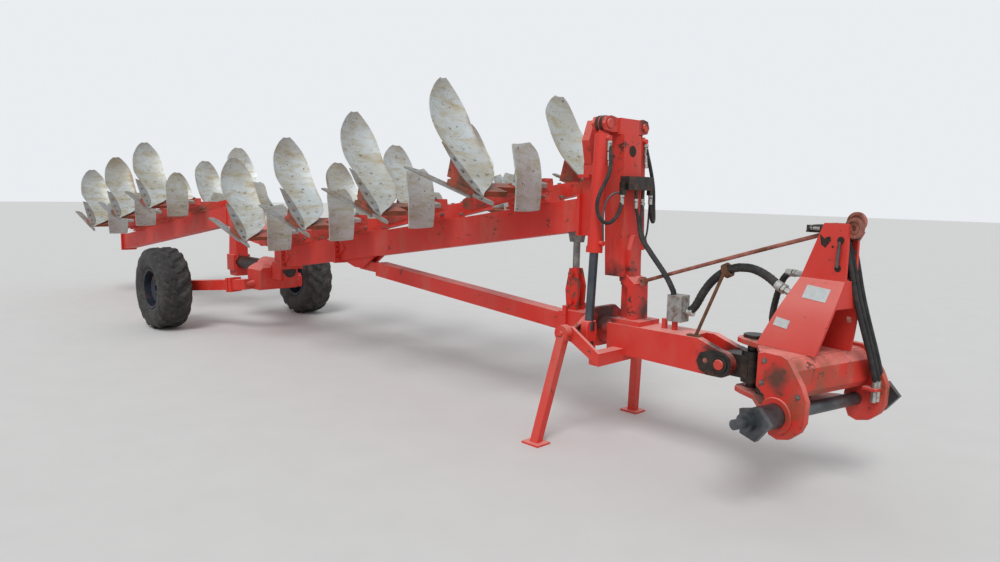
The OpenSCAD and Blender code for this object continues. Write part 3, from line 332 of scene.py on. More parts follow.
def red_paint(name, fade_and_sheen, chips, dirt, rusty=0.0, spots=(), sky=1.0):
    """Red mixed towards a pale pink by the upward normal, which is a painted sky sheen, and by noise patches
    of real fading, then streaks and chips from noise.

    Each spot is a place in metres, a radius and a colour: noise makes its edge ragged.
    """
    f = Finish(name)
    # Painted sky sheen: upward faces are made paler pink by the height of their normal.
    sky_sheen_mask = f.step(f.axis(f.coordinates.outputs["Normal"], 2), 0.06, sky)
    patchy = f.step(f.noise(1.7, 5.0, 0.6), 0.35, 0.7)
    colour = f.mix(f.times(f.plus(f.times(sky_sheen_mask, 0.8), f.times(patchy, 0.14)), fade_and_sheen), RED, FADED_AND_SHEEN)
    streak = f.step(f.noise(6.0, 6.0, 0.65, f.stretch((1.0, 1.0, 0.25))), 0.52, 0.78)
    colour = f.layer(colour, DUST, streak, dirt)
    big = f.noise(9.0, 8.0, 0.72, warp=0.4)
    small = f.noise(42.0, 4.0, 0.6)
    worn = f.step(f.plus(f.times(big, 0.8), f.times(small, 0.2)), chips, chips + 0.03)
    colour = f.mix(worn, colour, f.mix(f.step(small, 0.35, 0.65), PRIMER, RUST))
    if rusty:
        bloom = f.step(f.noise(3.2, 7.0, 0.7), 0.62 - rusty * 0.3, 0.74 - rusty * 0.2)
        colour = f.layer(colour, BLOOM, bloom, 0.8)
    scratch = f.step(f.noise(5.0, 5.0, 0.7, f.stretch((1.0, 14.0, 9.0), (0, 25, 8))), 0.655, 0.675)
    colour = f.layer(colour, PRIMER, scratch, 0.75)
    for *place, radius, tint in spots:
        away = f.node("ShaderNodeVectorMath", {0: f.place, 1: place}, operation="DISTANCE")["Value"]
        ragged = f.plus(f.minus(1.0, f.maths("DIVIDE", away, radius)), f.times(f.minus(big, 0.5), 1.6))
        colour = f.layer(colour, tint, f.step(ragged, 0.0, 0.60), 0.92)
    f.bump(f.minus(f.times(f.noise(70.0, 3.0), 0.12), worn), 0.35, 0.0008)
    return f.finish(colour, f.plus(0.42, f.times(f.noise(5.0, 5.0), 0.30)))


def spots_at(place_of, *rows, tint=GREASE_AND_SHADE):
    """Spots of one colour from rows of a place and a radius."""
    return [(*place_of(place), radius, tint) for *place, radius in rows]


# The first number of each finish sets its painted sky sheen on upward faces, together with its faded patches.
RED_PAINT = red_paint("red_paint", fade_and_sheen=0.9, chips=0.598, dirt=0.42)
RED_WORN = red_paint("red_worn", fade_and_sheen=1.0, chips=0.57, dirt=0.6, rusty=0.45)
RED_SMOOTH = red_paint("red_smooth", fade_and_sheen=0.6, chips=0.63, dirt=0.25)
RED_GRIME = red_paint("red_grime", fade_and_sheen=0.1, chips=0.50, dirt=0.8, rusty=1.0)
RED_TOWER = red_paint("red_tower", fade_and_sheen=1.0, chips=0.62, dirt=0.15, sky=0.55)
RED_DRAWBAR = red_paint("red_drawbar", fade_and_sheen=1.3, chips=0.64, dirt=0.2, spots=spots_at(
    row_points, [6330, -125, 640, 0.15], [6330, 125, 640, 0.15], [6290, -60, 770, 0.11],
    [5640, 0, 790, 0.13]))
# The mast's dark spots at its lower end are painted shade of a shadowed cut-out, not grease.
RED_MAST = red_paint("red_mast", fade_and_sheen=0.8, chips=0.585, dirt=0.45, spots=spots_at(
    row_points, [5550, -20, 1090, 0.12], [5500, -60, 830, 0.15], [5740, 40, 850, 0.09]))
RED_YOKE = red_paint("red_yoke", fade_and_sheen=0.8, chips=0.59, dirt=0.5, spots=spots_at(
    row_points, [5470, 0, 780, 0.20], [5440, -260, 700, 0.07], [5440, 260, 700, 0.07]))
RED_HEAD = red_paint("red_head", fade_and_sheen=1.0, chips=0.575, dirt=0.55, rusty=0.55, spots=(
    spots_at(at_headstock, [0.420, -0.347, 0.700, 0.085], tint=CAKED)
    + spots_at(at_headstock, [0.070, 0.0, 0.800, 0.11], [0.100, 0.0, 0.505, 0.13])))
RED_HEAD_TOP = red_paint("red_mast_head", fade_and_sheen=0.9, chips=0.60, dirt=0.3, spots=spots_at(
    row_points, [5500, -175, 2030, 0.075], [5500, 175, 2030, 0.085]))


def dress(material, *nodes):
    """Gives CAD nodes their finish."""
    for node in nodes:
        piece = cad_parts[node]
        piece.data.materials.clear()
        piece.data.materials.append(material)


dress(RED_PAINT, "front_post", "front_beam", "rear_link", "rear_beam", "right_stand", "left_stand",
      "wheel_arms", "carriage_hub", "draft_beam")
dress(RED_SMOOTH, "turnover_barrels", "headstock_tower")
dress(RED_MAST, "mast_column")
dress(RED_HEAD_TOP, "mast_head")
dress(RED_YOKE, "turnover_yoke")
dress(RED_DRAWBAR, "drawbar")
dress(RED_WORN, "front_carriers", "rear_carriers", "headstock_frame")


# Bare steels: greasy black castings, the blue-grey cylinder rods, the worn grey hitch shaft,
# the rusty brown hose post, pink worn eyes and link rod, grey bolts and bright hose fittings.
OLD_RUST = (0.14, 0.05, 0.022)


def bare_steel(name, dark, bright, rough, metallic=0.8, scale=14.0, rust=0.0):
    """Two greys by noise, with rust over it where a second noise is high."""
    f = Finish(name, metallic)
    cloud = f.noise(scale, 6.0, 0.65)
    colour = f.mix(f.step(cloud, 0.3, 0.7), dark, bright)
    if rust:
        spots = f.step(f.noise(scale * 0.6, 8.0, 0.75), 0.60 - 0.3 * rust, 0.72 - 0.2 * rust)
        colour = f.mix(spots, colour, OLD_RUST)
    f.bump(f.noise(scale * 6, 4.0), 0.25, 0.0006)
    return f.finish(colour, f.plus(rough, f.times(cloud, 0.25)))


GREASY = bare_steel("greasy_casting", (0.010, 0.009, 0.008), (0.050, 0.042, 0.036), 0.34, 0.5, 18.0, 0.28)
ROD = bare_steel("cylinder_rod", (0.055, 0.062, 0.074), (0.100, 0.110, 0.125), 0.20, 0.85, 6.0)
SHAFT = bare_steel("worn_shaft", (0.055, 0.060, 0.066), (0.16, 0.17, 0.18), 0.32, 0.75, 9.0, 0.25)
BROWN = bare_steel("brown_iron", (0.080, 0.034, 0.018), (0.20, 0.090, 0.045), 0.70, 0.15, 22.0)
RUSTY_PINK = bare_steel("rusty_pink", (0.22, 0.065, 0.045), (0.50, 0.19, 0.15), 0.62, 0.1, 18.0, 0.5)
# Near-black for thin pieces that stand in for holes and slots: painted shade of the openings.
HOLE_SHADE = bare_steel("painted_hole_shade", (0.012, 0.008, 0.007), (0.050, 0.028, 0.020), 0.8, 0.0, 60.0)
PALE_PLATE = bare_steel("pale_plate", (0.50, 0.54, 0.54), (0.62, 0.66, 0.66), 0.45, 0.2, 30.0)
GREY_CAST = bare_steel("grey_casting", (0.20, 0.19, 0.18), (0.42, 0.41, 0.39), 0.5, 0.4, 26.0, 0.3)
ZINC = bare_steel("zinc_fitting", (0.30, 0.30, 0.28), (0.62, 0.62, 0.58), 0.28, 0.85, 40.0)
BOLT = bare_steel("bolt_steel", (0.10, 0.085, 0.07), (0.32, 0.30, 0.27), 0.42, 0.7, 60.0, 0.3)
dress(GREASY, "pivot_cross", "roll_tube", "valve_block")
dress(BROWN, "hose_post")
dress(ROD, "right_rod", "left_rod")
dress(SHAFT, "hitch_shaft")


# Adjusting strut: worn red plates at its foot, and a bare grey screw above them.
# One material covers both and changes at the height where the screw comes out.
STRUT_SPLIT = 1.084
strut = Finish("strut_paint")
bare = strut.step(strut.axis(strut.place, 2), STRUT_SPLIT, STRUT_SPLIT + 0.004)
cloud = strut.noise(18.0, 7.0, 0.7)
plates = strut.mix(strut.step(cloud, 0.52, 0.60), RED, (0.12, 0.045, 0.025))
rod_grey = strut.mix(strut.step(cloud, 0.35, 0.65), (0.085, 0.080, 0.075), (0.26, 0.25, 0.24))
strut.bump(strut.noise(80.0, 4.0), 0.25, 0.0006)
strut_paint = strut.finish(strut.mix(bare, plates, rod_grey), strut.plus(0.40, strut.times(cloud, 0.3)))
dress(strut_paint, "front_strut")


# Plough bodies: each mouldboard is a pressed and hardened steel sheet, polished by the soil.
# Its share is bolted on below it, and both sit on a rusty frog at the end of a painted leg.
# The columns are, for the cutting edge, how far back, how far thrown and how high it lies,
# then the same for the top edge, then the hollow's depth and the share's part of the width.
SHEET_UNITS = [1000] * 7 + [1]
BOARD = np.array([
    [0, 0, 0, 70, 10, 70, 2, 0.30], [110, 30, 0, 190, 30, 230, 12, 0.34],
    [230, 75, 0, 290, 75, 340, 25, 0.30], [360, 150, 0, 400, 140, 375, 40, 0.26],
    [480, 225, 5, 510, 200, 380, 55, 0.16], [590, 300, 15, 620, 290, 380, 60, 0],
    [680, 375, 30, 710, 385, 375, 55, 0], [745, 460, 55, 790, 470, 350, 40, 0],
    [790, 545, 110, 830, 545, 290, 20, 0], [812, 590, 165, 835, 590, 235, 8, 0]]) / SHEET_UNITS
SKIMMER = np.array([
    [-110, -50, 185, -100, -50, 420, 8, 0], [-100, 60, 170, -70, 60, 430, 26, 0],
    [-60, 180, 170, -30, 180, 430, 34, 0], [10, 290, 180, 30, 285, 425, 24, 0],
    [50, 330, 200, 70, 345, 370, 8, 0]]) / SHEET_UNITS
BOARD_ROWS, BOARD_COLUMNS, SHARE_GAP = 91, 13, 0.002
BODY_REACH, POINT_RISE, BODY_PITCH = 0.800, 0.130, 1.070
BODY_TILT, BEAM_SLOPE, SHEET_T = math.radians(16), math.radians(8.5), 0.010
FRONT_POINTS = [5.080 - i * BODY_PITCH for i in range(4)]
REAR_POINTS = [-0.575 - i * BODY_PITCH for i in range(3)]
FRONT_Z0, FRONT_X0, REAR_Z1, REAR_X1 = 0.850, 1.240, 1.240, -0.120


def beam_height(x):
    """Height of the beam's middle line at a distance ahead of the wheel axle."""
    if x > 0.5:
        return FRONT_Z0 + (x - FRONT_X0) * math.tan(BEAM_SLOPE)
    return REAR_Z1 + (x - REAR_X1) * math.tan(BEAM_SLOPE)


def at_body(points, x, side):
    """Points of a body's own frame, tilted with its leg and set at its share point, in the row frame."""
    p = np.asarray(points, float)
    c, s = math.cos(BODY_TILT), math.sin(BODY_TILT)
    out = np.stack([p[..., 0] * c + p[..., 2] * s + x - CENTRE_X, p[..., 1] - BODY_REACH,
                    -p[..., 0] * s + p[..., 2] * c + beam_height(x) + POINT_RISE], -1)
    if side > 0:
        out[..., 1] *= -1
    return out


def sheet_point(rows, t, deep):
    """Place between a section's cutting edge and top edge, hollowed by a parabola and set back by deep."""
    s = rows[:, None, :]
    back, throw, lift = [s[..., k] + (s[..., k + 3] - s[..., k]) * t for k in range(3)]
    h = s[..., 6] * 4 * t * (1 - t) + deep
    return np.stack([-back - 0.6 * h, lift, throw - 0.8 * h], -1)


def shell(front, back):
    """A closed sheet between two grids of points: its corners, its quads and two shares for each corner."""
    rows, columns = front.shape[:2]
    count = rows * columns
    grid = np.arange(count).reshape(rows, columns)
    a, b, c, d = grid[:-1, :-1], grid[1:, :-1], grid[1:, 1:], grid[:-1, 1:]
    faces = [np.stack([a, b, c, d], -1).reshape(-1, 4), np.stack([d, c, b, a], -1).reshape(-1, 4) + count]
    ring = np.concatenate([grid[0, :-1], grid[:-1, -1], grid[-1, :0:-1], grid[:0:-1, 0]])
    following = np.roll(ring, -1)
    faces.append(np.stack([ring, following, following + count, ring + count], -1))
    i, j = np.meshgrid(np.linspace(0, 1, rows), np.linspace(0, 1, columns), indexing="ij")
    shares = np.stack([i, j], -1).reshape(-1, 2)
    verts = np.concatenate([front.reshape(-1, 3), back.reshape(-1, 3)])
    return verts, np.concatenate(faces), np.tile(shares, (2, 1))


def flipped(part, turn=True):
    """The same part with its faces turned the other way round, unless turn is false."""
    verts, faces, shares = part
    return verts, [list(face)[::-1] for face in faces] if turn else faces, shares


def merged(parts):
    """Corners and faces of several parts, each as one list."""
    starts = np.cumsum([0] + [len(part[0]) for part in parts])
    faces = [[int(k + start) for k in face] for part, start in zip(parts, starts) for face in part[1]]
    return np.concatenate([part[0] for part in parts]), faces


def finish_piece(piece, material, body, slot_name, *nodes):
    """Material, body and replaced nodes of a new piece; its slot name is not used."""
    piece.data.materials.append(material)
    if nodes:
        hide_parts(*nodes)
    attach(piece, body)


def build(name, parts, material, body, slot_name, *nodes, angle=35.0, edge=0.0, segments=2):
    """One finished piece from (corners, faces, shares) parts, with its edges rounded by a width."""
    piece = surface(name, *merged(parts), angle=angle)
    uv_from(piece, np.concatenate([part[2] for part in parts]))
    if edge:
        bevel = piece.modifiers.new("edges", "BEVEL")
        bevel.width, bevel.segments = edge, segments
        bevel.limit_method, bevel.angle_limit = "ANGLE", math.radians(40)
    finish_piece(piece, material, body, slot_name, *nodes)


def sheet_part(rows, t, x, side, stand_out=0.0):
    """A closed sheet between its face and its back, at the body whose share point is at x."""
    front, back = [at_body(sheet_point(rows, t, deep), x, side) for deep in (-stand_out, SHEET_T)]
    return flipped(shell(front, back), side < 0)


def board_part(x, side):
    """The sheet from the share's upper edge, which the table's last column gives, to the top edge."""
    rows = curve_rows(BOARD, BOARD_ROWS)[::2]
    low = np.clip(rows[:, 7:], 0, 1) + SHARE_GAP
    return sheet_part(rows, low + (1 - low) * np.linspace(0, 1, BOARD_COLUMNS), x, side)


def stained_sheet(name, pale_colour, stain, rusty_edge):
    """Polished sheet under slanting stains, a thin film, dirt, pits and scuffs, with rust at its top edge."""
    f = Finish(name, 0.35)
    cloud = f.noise(2.3, 7.0, 0.62)
    slant = f.noise(5.0, 6.0, 0.62, f.stretch((0.8, 1.0, 3.2), (0, 35, 20)), 0.6)
    film = f.noise(1.1, 5.0, 0.6)
    fine = f.noise(26.0, 5.0, 0.7, f.stretch((0.5, 1.0, 2.6), (0, 30, 15)))
    pits = f.noise(34.0, 2.0, 0.5)
    scuff = f.noise(7.0, 6.0, 0.7, f.stretch((9.0, 1.0, 1.6), (0, 55, 10)), 0.5)
    edge = f.plus(f.axis(f.coordinates.outputs["UV"], 1), f.times(f.minus(cloud, 0.5), 0.8))
    colour = f.mix(f.step(cloud, 0.3, 0.7), pale_colour, [0.80 * c for c in pale_colour])
    for mask, low, high, strength, tint in (
            (slant, 0.44, 0.68, 0.80, stain), (film, 0.46, 0.62, 0.42, [0.8 * c for c in stain]),
            (fine, 0.57, 0.70, 0.62, (0.10, 0.095, 0.085)), (pits, 0.70, 0.73, 0.85, (0.055, 0.035, 0.025)),
            (scuff, 0.63, 0.66, 0.6, (0.16, 0.15, 0.13)),
            (edge, rusty_edge, rusty_edge + 0.16, 0.8, (0.22, 0.10, 0.045))):
        colour = f.layer(colour, tint, f.step(mask, low, high), strength)
    f.bump(f.plus(f.times(slant, 0.3), fine), 0.18, 0.0006)
    return f.finish(colour, f.plus(0.34, f.times(slant, 0.35)))


POLISHED = stained_sheet("polished_board", (0.56, 0.60, 0.60), (0.40, 0.33, 0.19), 0.95)
SKIMMED = stained_sheet("skimmer_steel", (0.54, 0.57, 0.56), (0.36, 0.32, 0.19), 2.0)
SHARE_STEEL = stained_sheet("share_steel", (0.30, 0.31, 0.31), (0.22, 0.15, 0.09), 0.96)
SIDES = {"right": -1, "left": 1}
GROUPS = [(side_name + "_" + end_name, side, points) for side_name, side in SIDES.items()
          for end_name, points in (("front", FRONT_POINTS), ("rear", REAR_POINTS))]
for group, side, points in GROUPS:
    build(group + "_mouldboards", [board_part(x, side) for x in points], POLISHED, "frame", "bare_steel",
          group + "_boards")
    dress(RED_GRIME, group + "_legs")
    dress(SHARE_STEEL, group + "_shares")


# Skimmers: small curved boards ahead of the bodies, on stems that the carriers' arms hold.
# They are the same polished sheet, with a square edge all round.
skimmer_rows = curve_rows(SKIMMER, 25)
for group, side, points in GROUPS:
    parts = [sheet_part(skimmer_rows, np.linspace(0, 1, 11), x, side, stand_out=0.002) for x in points]
    build(group + "_skimmer_faces", parts, SKIMMED, "frame", "bare_steel")
    dress(SKIMMED, group + "_skimmers")


# Bolts: hexagon heads on washers, joined into one mesh for each body that they ride on.
# A profile of radius and height pairs is turned about its axis, in parts of the bolt's size.
WASHER = [(0, 0), (1.25, 0), (1.25, 0.18), (0, 0.18)]
BOLT_HEAD = [(0, 0.16), (0.88, 0.16), (0.88, 0.72), (0.74, 0.84), (0, 0.86)]


def rings(profile, sides):
    """Corners of (radius, height) pairs turned about Z, one closed ring for each pair."""
    turn = np.arange(sides) * 2 * math.pi / sides
    r, z = np.asarray(profile, float).T[..., None]
    return np.stack([r * np.cos(turn), r * np.sin(turn), z + 0 * turn], -1)


def bolt_part(size):
    """A washer and a hexagon head with a worn crown, standing on Z = 0."""
    parts = []
    for profile, sides in ((WASHER, 12), (BOLT_HEAD, 6)):
        ends = [[0, 0, profile[k][1] * size] for k in (0, -1)]
        verts = np.concatenate([rings(np.array(profile[1:-1]) * size, sides).reshape(-1, 3), ends])
        foot = len(verts) - 2
        grid = np.arange(foot).reshape(-1, sides)
        nxt = np.roll(grid, -1, 1)
        faces = walls(grid) + [[foot, b, a] for a, b in zip(grid[0], nxt[0])]
        faces += [[foot + 1, a, b] for a, b in zip(grid[-1], nxt[-1])]
        parts.append((verts, faces))
    return parts


def turned_to(direction):
    """Rotation that carries Z to a direction."""
    z = np.asarray(direction, float)
    z = z / np.linalg.norm(z)
    x = np.cross([0, 0, 1] if abs(z[2]) < 0.9 else [1, 0, 0], z)
    x /= np.linalg.norm(x)
    return np.stack([x, np.cross(z, x), z], 1)


def bolts(name, body, places, size, material=BOLT):
    """One mesh of bolts at (place, direction) pairs."""
    parts = [(verts @ turned_to(direction).T + place, faces)
             for place, direction in places for verts, faces in bolt_part(size)]
    finish_piece(surface(name, *merged(parts), smooth=False), material, body, "dark_steel")


def board_spot(x, side, s, t):
    """Place on a board at a share of its length and a fraction of its width, with the way out of its face."""
    rows = curve_rows(BOARD, BOARD_ROWS)[[int(s * (BOARD_ROWS - 1))]]
    face, behind = [at_body(sheet_point(rows, np.array([[t]]), deep), x, side)[0, 0] for deep in (0, SHEET_T)]
    return face, face - behind


BOARD_SPOTS = [(0.24, 0.55), (0.24, 0.80), (0.36, 0.45), (0.36, 0.72), (0.46, 0.35), (0.46, 0.65),
               (0.60, 0.55)]
SHARE_SPOTS = [(0.08, 0.14), (0.17, 0.14), (0.26, 0.13), (0.34, 0.11)]
ALL_POINTS = FRONT_POINTS + REAR_POINTS
for name, spots, size, material in (("board_bolts", BOARD_SPOTS, 0.011, POLISHED),
                                    ("share_bolts", SHARE_SPOTS, 0.013, BOLT)):
    places = [board_spot(x, side, s, t) for side in (-1, 1) for x in ALL_POINTS for s, t in spots]
    bolts(name, "frame", places, size, material)


# Carriers: bolted through the beam by four long bolts, and each arm clamps its leg with two more.
# Three short bolts stand on each arm. All lie square to the sloping beam.
ARM_OUT, LEG_BACK, BEAM_H, BEAM_W = 0.280, 0.280, 0.215, 0.160
CARRIER_BOLT_Y, CARRIER_TOP = BEAM_W / 2 + 0.022, BEAM_H / 2 + 0.040
ARM_BOLT_Y, ARM_TOP, CLAMP_UP = ARM_OUT - 0.042, 0.262, 0.20
slope = np.array([math.cos(BEAM_SLOPE), 0, math.sin(BEAM_SLOPE)])
rise = np.array([-math.sin(BEAM_SLOPE), 0, math.cos(BEAM_SLOPE)])


def on_beam(x, along, out, up):
    """Place at a leg: along the sloping beam, out from its middle plane and up from its middle line."""
    station = x - LEG_BACK * math.cos(BODY_TILT)
    return np.array([station - CENTRE_X, out, beam_height(station)]) + slope * along + rise * up


carrier_bolts, arm_bolts = [], []
for x in ALL_POINTS:
    carrier_bolts += [(on_beam(x, along, y * CARRIER_BOLT_Y, CARRIER_TOP), rise)
                      for along in (-0.150, 0.150) for y in (-1, 1)]
    for y in (-1, 1):
        arm_bolts += [(on_beam(x, along, y * ARM_BOLT_Y, ARM_TOP), rise) for along in (-0.10, 0.02, 0.24)]
        arm_bolts += [(on_beam(x, along, y * ARM_OUT, CLAMP_UP), (0, y, 0)) for along in (-0.05, 0.07)]
bolts("carrier_bolts", "frame", carrier_bolts, 0.020)
bolts("arm_bolts", "frame", arm_bolts, 0.017)


# Tyres: wide implement tyres with curved, worn ribs that slant away from the middle on each side.
# Rubber moulded over a carcass, with smooth walls and a bead that grips the rim.
TYRE_W, LUG_H, LUGS, SHOULDER_R = 0.350, 0.019, 18, 0.36
TRACK, AXLE = 1.740, np.array([-1.640, 0, 0.450])
TURNS, ACROSS = 432, 41
WALL = np.array([[0.2105, 0.125], [0.255, 0.161], [0.310, 0.175], [0.355, 0.173], [0.408, 0.149],
                 [0.428, 0.105], [0.430, 0.050]])
PROFILE = np.concatenate([WALL * [1, -1], [[0.431, 0.0]], WALL[::-1]])


def tyre_part(y0):
    """Carcass radius along its profile plus the ribs' height, which follow a curve away from the middle."""
    rows = curve_rows(PROFILE, ACROSS)
    r, y = rows[:, 0], rows[:, 1]
    turn = np.arange(TURNS) * 2 * math.pi / TURNS
    a, half = np.meshgrid(turn, y, indexing="ij")
    reach = np.abs(half) / (TYRE_W / 2)
    phase = a * LUGS / (2 * math.pi) + np.where(half > 0, 0.5, 0.0) - 0.95 * reach ** 1.5
    away = np.abs((phase + 0.5) % 1.0 - 0.5)
    lug = np.clip((0.235 - away) / 0.05, 0, 1)
    lug = lug * lug * (3 - 2 * lug)
    lug *= np.clip((0.99 - reach) / 0.10, 0, 1) * np.clip((reach - 0.03) / 0.05, 0, 1)
    radius = r + LUG_H * lug * np.clip((r - SHOULDER_R) / 0.05, 0, 1)
    points = np.stack([radius * np.cos(a), half, radius * np.sin(a)], -1) + AXLE + [0, y0, 0]
    grid = np.arange(TURNS * ACROSS).reshape(TURNS, ACROSS)
    nxt = np.roll(grid, -1, 0)
    outer = np.stack([grid[:, :-1], nxt[:, :-1], nxt[:, 1:], grid[:, 1:]], -1).reshape(-1, 4)
    bead = np.stack([grid[:, -1], nxt[:, -1], nxt[:, 0], grid[:, 0]], -1)
    return points.reshape(-1, 3), np.concatenate([outer, bead])


def rubber(name, base, dusty):
    """Dark rubber with dry dust that gathers in the low places of a noise."""
    f = Finish(name)
    cloud = f.noise(4.0, 6.0, 0.6)
    dust = f.step(f.noise(18.0, 6.0, 0.7), 0.45, 0.75)
    colour = f.layer(base, (0.16, 0.13, 0.10), dust, dusty)
    colour = f.layer(colour, (0.12, 0.11, 0.10), f.step(cloud, 0.4, 0.7), 0.5 * dusty)
    f.bump(f.noise(90.0, 4.0), 0.3, 0.0008)
    return f.finish(colour, f.plus(0.62, f.times(cloud, 0.25)))


TYRE_RUBBER = rubber("tyre_rubber", (0.014, 0.014, 0.016), 0.45)
HOSE_RUBBER = rubber("hose_rubber", (0.012, 0.012, 0.014), 0.30)
for piece in hoses:
    piece.data.materials.append(HOSE_RUBBER)
RIM_PAINT = bare_steel("rim_paint", (0.012, 0.016, 0.026), (0.035, 0.042, 0.060), 0.40, 0.3, 8.0, 0.15)
for side_name, side in SIDES.items():
    tread = surface(side_name + "_tread", *tyre_part(side * TRACK / 2), angle=50)
    finish_piece(tread, TYRE_RUBBER, side_name + "_wheel", "tyre", side_name + "_tyre")
    dress(RIM_PAINT, side_name + "_rim")


# Headstock tower: two bent plates that draw together at the knee, with a back sheet and a front box.
# Two rusty eyes stand at its top, and a pin hangs in its slot. It takes the place of the plain solid.
# The rows give, for a height, the rear edge, the front edge and how far each plate stands out.
TOWER = np.array([
    [0.806, 0.130, 0.484, 0.152], [0.900, 0.172, 0.508, 0.136], [1.020, 0.226, 0.533, 0.110],
    [1.120, 0.272, 0.546, 0.076], [1.180, 0.299, 0.550, 0.054], [1.200, 0.307, 0.550, 0.051],
    [1.340, 0.362, 0.549, 0.050], [1.440, 0.402, 0.547, 0.050], [1.468, 0.414, 0.545, 0.050]])
PLATE_T, SHEET_FOLD, FOLD_INSET, SHELF_T, SHELF_END = 0.016, 0.014, 0.001, 0.012, 0.535
REAR_EDGE, FRONT_EDGE, FRONT_SHEET = 1, 2, slice(9, 18)


def oblong(a0, a1, b0, b1):
    """Corners of a rectangle between two values of a and two of b."""
    return [(a0, b0), (a1, b0), (a1, b1), (a0, b1)]


def prism(outline, low, high, place):
    """A closed prism: a flat outline of (a, b) pairs, carried from low to high along the third way."""
    o = np.asarray(outline, float)
    verts = place(np.concatenate([np.column_stack([o, np.full(len(o), h)]) for h in (low, high)]))
    part = verts, capped(np.arange(2 * len(o)).reshape(2, -1)), np.tile(o, (2, 1))
    following = np.roll(o, -1, 0)
    return flipped(part, np.sum(o[:, 0] * following[:, 1] - following[:, 0] * o[:, 1]) < 0)


def side_plate(p):
    """(along, up, across) made (along, across, up) in the headstock, which turns the faces round."""
    return at_headstock(p[:, [0, 2, 1]])


def front_plate(p):
    """(across, up, along) made (along, across, up) in the headstock."""
    return at_headstock(p[:, [2, 0, 1]])


def disc(centre, direction, radius, thick, sides=24, inner=0.0):
    """A plain disc standing on its centre, or a washer with its own closed ring of walls."""
    profile = [(radius, 0), (radius, thick)]
    if inner:
        profile = [(inner, 0), *profile, (inner, thick)]
    verts = rings(profile, sides).reshape(-1, 3) @ turned_to(direction).T + centre
    grid = np.arange(len(verts)).reshape(-1, sides)
    return verts, walls(np.vstack([grid, grid[:1]])) if inner else capped(grid), np.zeros((len(verts), 2))


def head_grid(along, across, up):
    """Points of the headstock's frame from three arrays that are brought to one shape."""
    return at_headstock(np.stack(np.broadcast_arrays(along, across, up), -1))


def cross_sheet(rows, column, thick):
    """A sheet between the two plates, just inside the edge that a column of the table gives."""
    up, out = rows[:, :1], rows[:, 3:]
    edge = rows[:, column:column + 1] + np.sign(thick) * FOLD_INSET
    across = out * np.linspace(-1, 1, 7) * 0.99
    return shell(head_grid(edge + thick, across, up), head_grid(edge, across, up))


levels = curve_rows(TOWER, 33)
up, rear, front, out = levels.T[..., None]
along = rear + (front - rear) * np.linspace(0, 1, 9)
parts = []
for side in (-1, 1):
    plate = shell(head_grid(along, side * out, up), head_grid(along, side * (out - PLATE_T), up))
    parts.append(flipped(plate, side < 0))
build("tower_back_sheet", [flipped(cross_sheet(levels, REAR_EDGE, SHEET_FOLD))], RED_GRIME, "headstock",
      "red_paint", angle=30)
parts.append(cross_sheet(levels[FRONT_SHEET], FRONT_EDGE, -SHEET_FOLD))
for z, x0, half in ((1.178, 0.315, 0.052), (1.045, 0.260, 0.094)):
    parts.append(prism(oblong(x0, SHELF_END, -half, half), z, z + SHELF_T, at_headstock))
build("tower_plates", parts, RED_TOWER, "headstock", "red_paint", "headstock_tower", angle=30, edge=0.003)


# Tower's eyes, pins and holes: rusty forged eyes at the top, a hanging pin in the near slot, thin dark discs
# and a ragged flat piece that paint the shade of the holes and of the notch where the link goes in, and two
# thin blank plates on the near side.
NEAR_EYE, FAR_EYE, EYE_R = np.array([0.558, -0.032, 1.447]), np.array([0.540, 0.014, 1.477]), 0.050
TAIL = [(0.470, 1.395), (0.560, 1.385), (0.585, 1.430), (0.520, 1.455), (0.470, 1.440)]
NOTCH = [(0.396, 1.410), (0.425, 1.388), (0.432, 1.398), (0.452, 1.402), (0.458, 1.382), (0.430, 1.345),
         (0.405, 1.360)]
SLOT_HOLES = [(0.511, 1.386, 0.019), (0.506, 1.247, 0.018), (0.470, 1.352, 0.006), (0.425, 1.352, 0.004)]
NEAR_FACE, MARK_T, PLATE_STAND, PIN_R = -0.0505, 0.0012, 0.0035, 0.008
AHEAD, LEFT = [at_headstock(way) - at_headstock([0, 0, 0]) for way in ([1, 0, 0], [0, 1, 0])]
eyes = []
for spot in (at_headstock(NEAR_EYE), at_headstock(FAR_EYE)):
    eyes.append(disc(spot, LEFT, EYE_R, 0.022, 40, 0.031))
    eyes.append(disc(spot + LEFT * 0.003, LEFT, 0.0305, 0.016, 32, 0.011))
eyes.append(flipped(prism(TAIL, 0.020, 0.036, side_plate)))
build("tower_eyes", eyes, RUSTY_PINK, "headstock", "red_paint", edge=0.004)
marks = [disc(at_headstock([x, NEAR_FACE, z]), -LEFT, r, MARK_T, 20) for x, z, r in SLOT_HOLES]
marks.append(flipped(prism(NOTCH, NEAR_FACE - MARK_T, NEAR_FACE, side_plate)))
marks += [disc(at_headstock([0.552, 0.012, z]), AHEAD, 0.011, 0.002, 18) for z in (1.395, 1.330, 1.215)]
build("tower_holes", marks, HOLE_SHADE, "headstock", "dark_steel")
build("tower_inner_plate", [prism(oblong(-0.034, 0.034, 1.205, 1.440), 0.512, 0.520, front_plate)], GREASY,
      "headstock", "dark_steel")
pin = np.array([[0.511, -0.008, 1.380], [0.512, -0.012, 1.340], [0.508, -0.010, 1.290],
                [0.507, -0.008, 1.252]])
pin_path = curve_rows(at_headstock(pin + [0, NEAR_FACE, 0]), 13)
build("tower_slot_pin", [tube_part(pin_path, PIN_R, 12, (0, 1, 0))], SHAFT, "headstock", "dark_steel",
      angle=60)


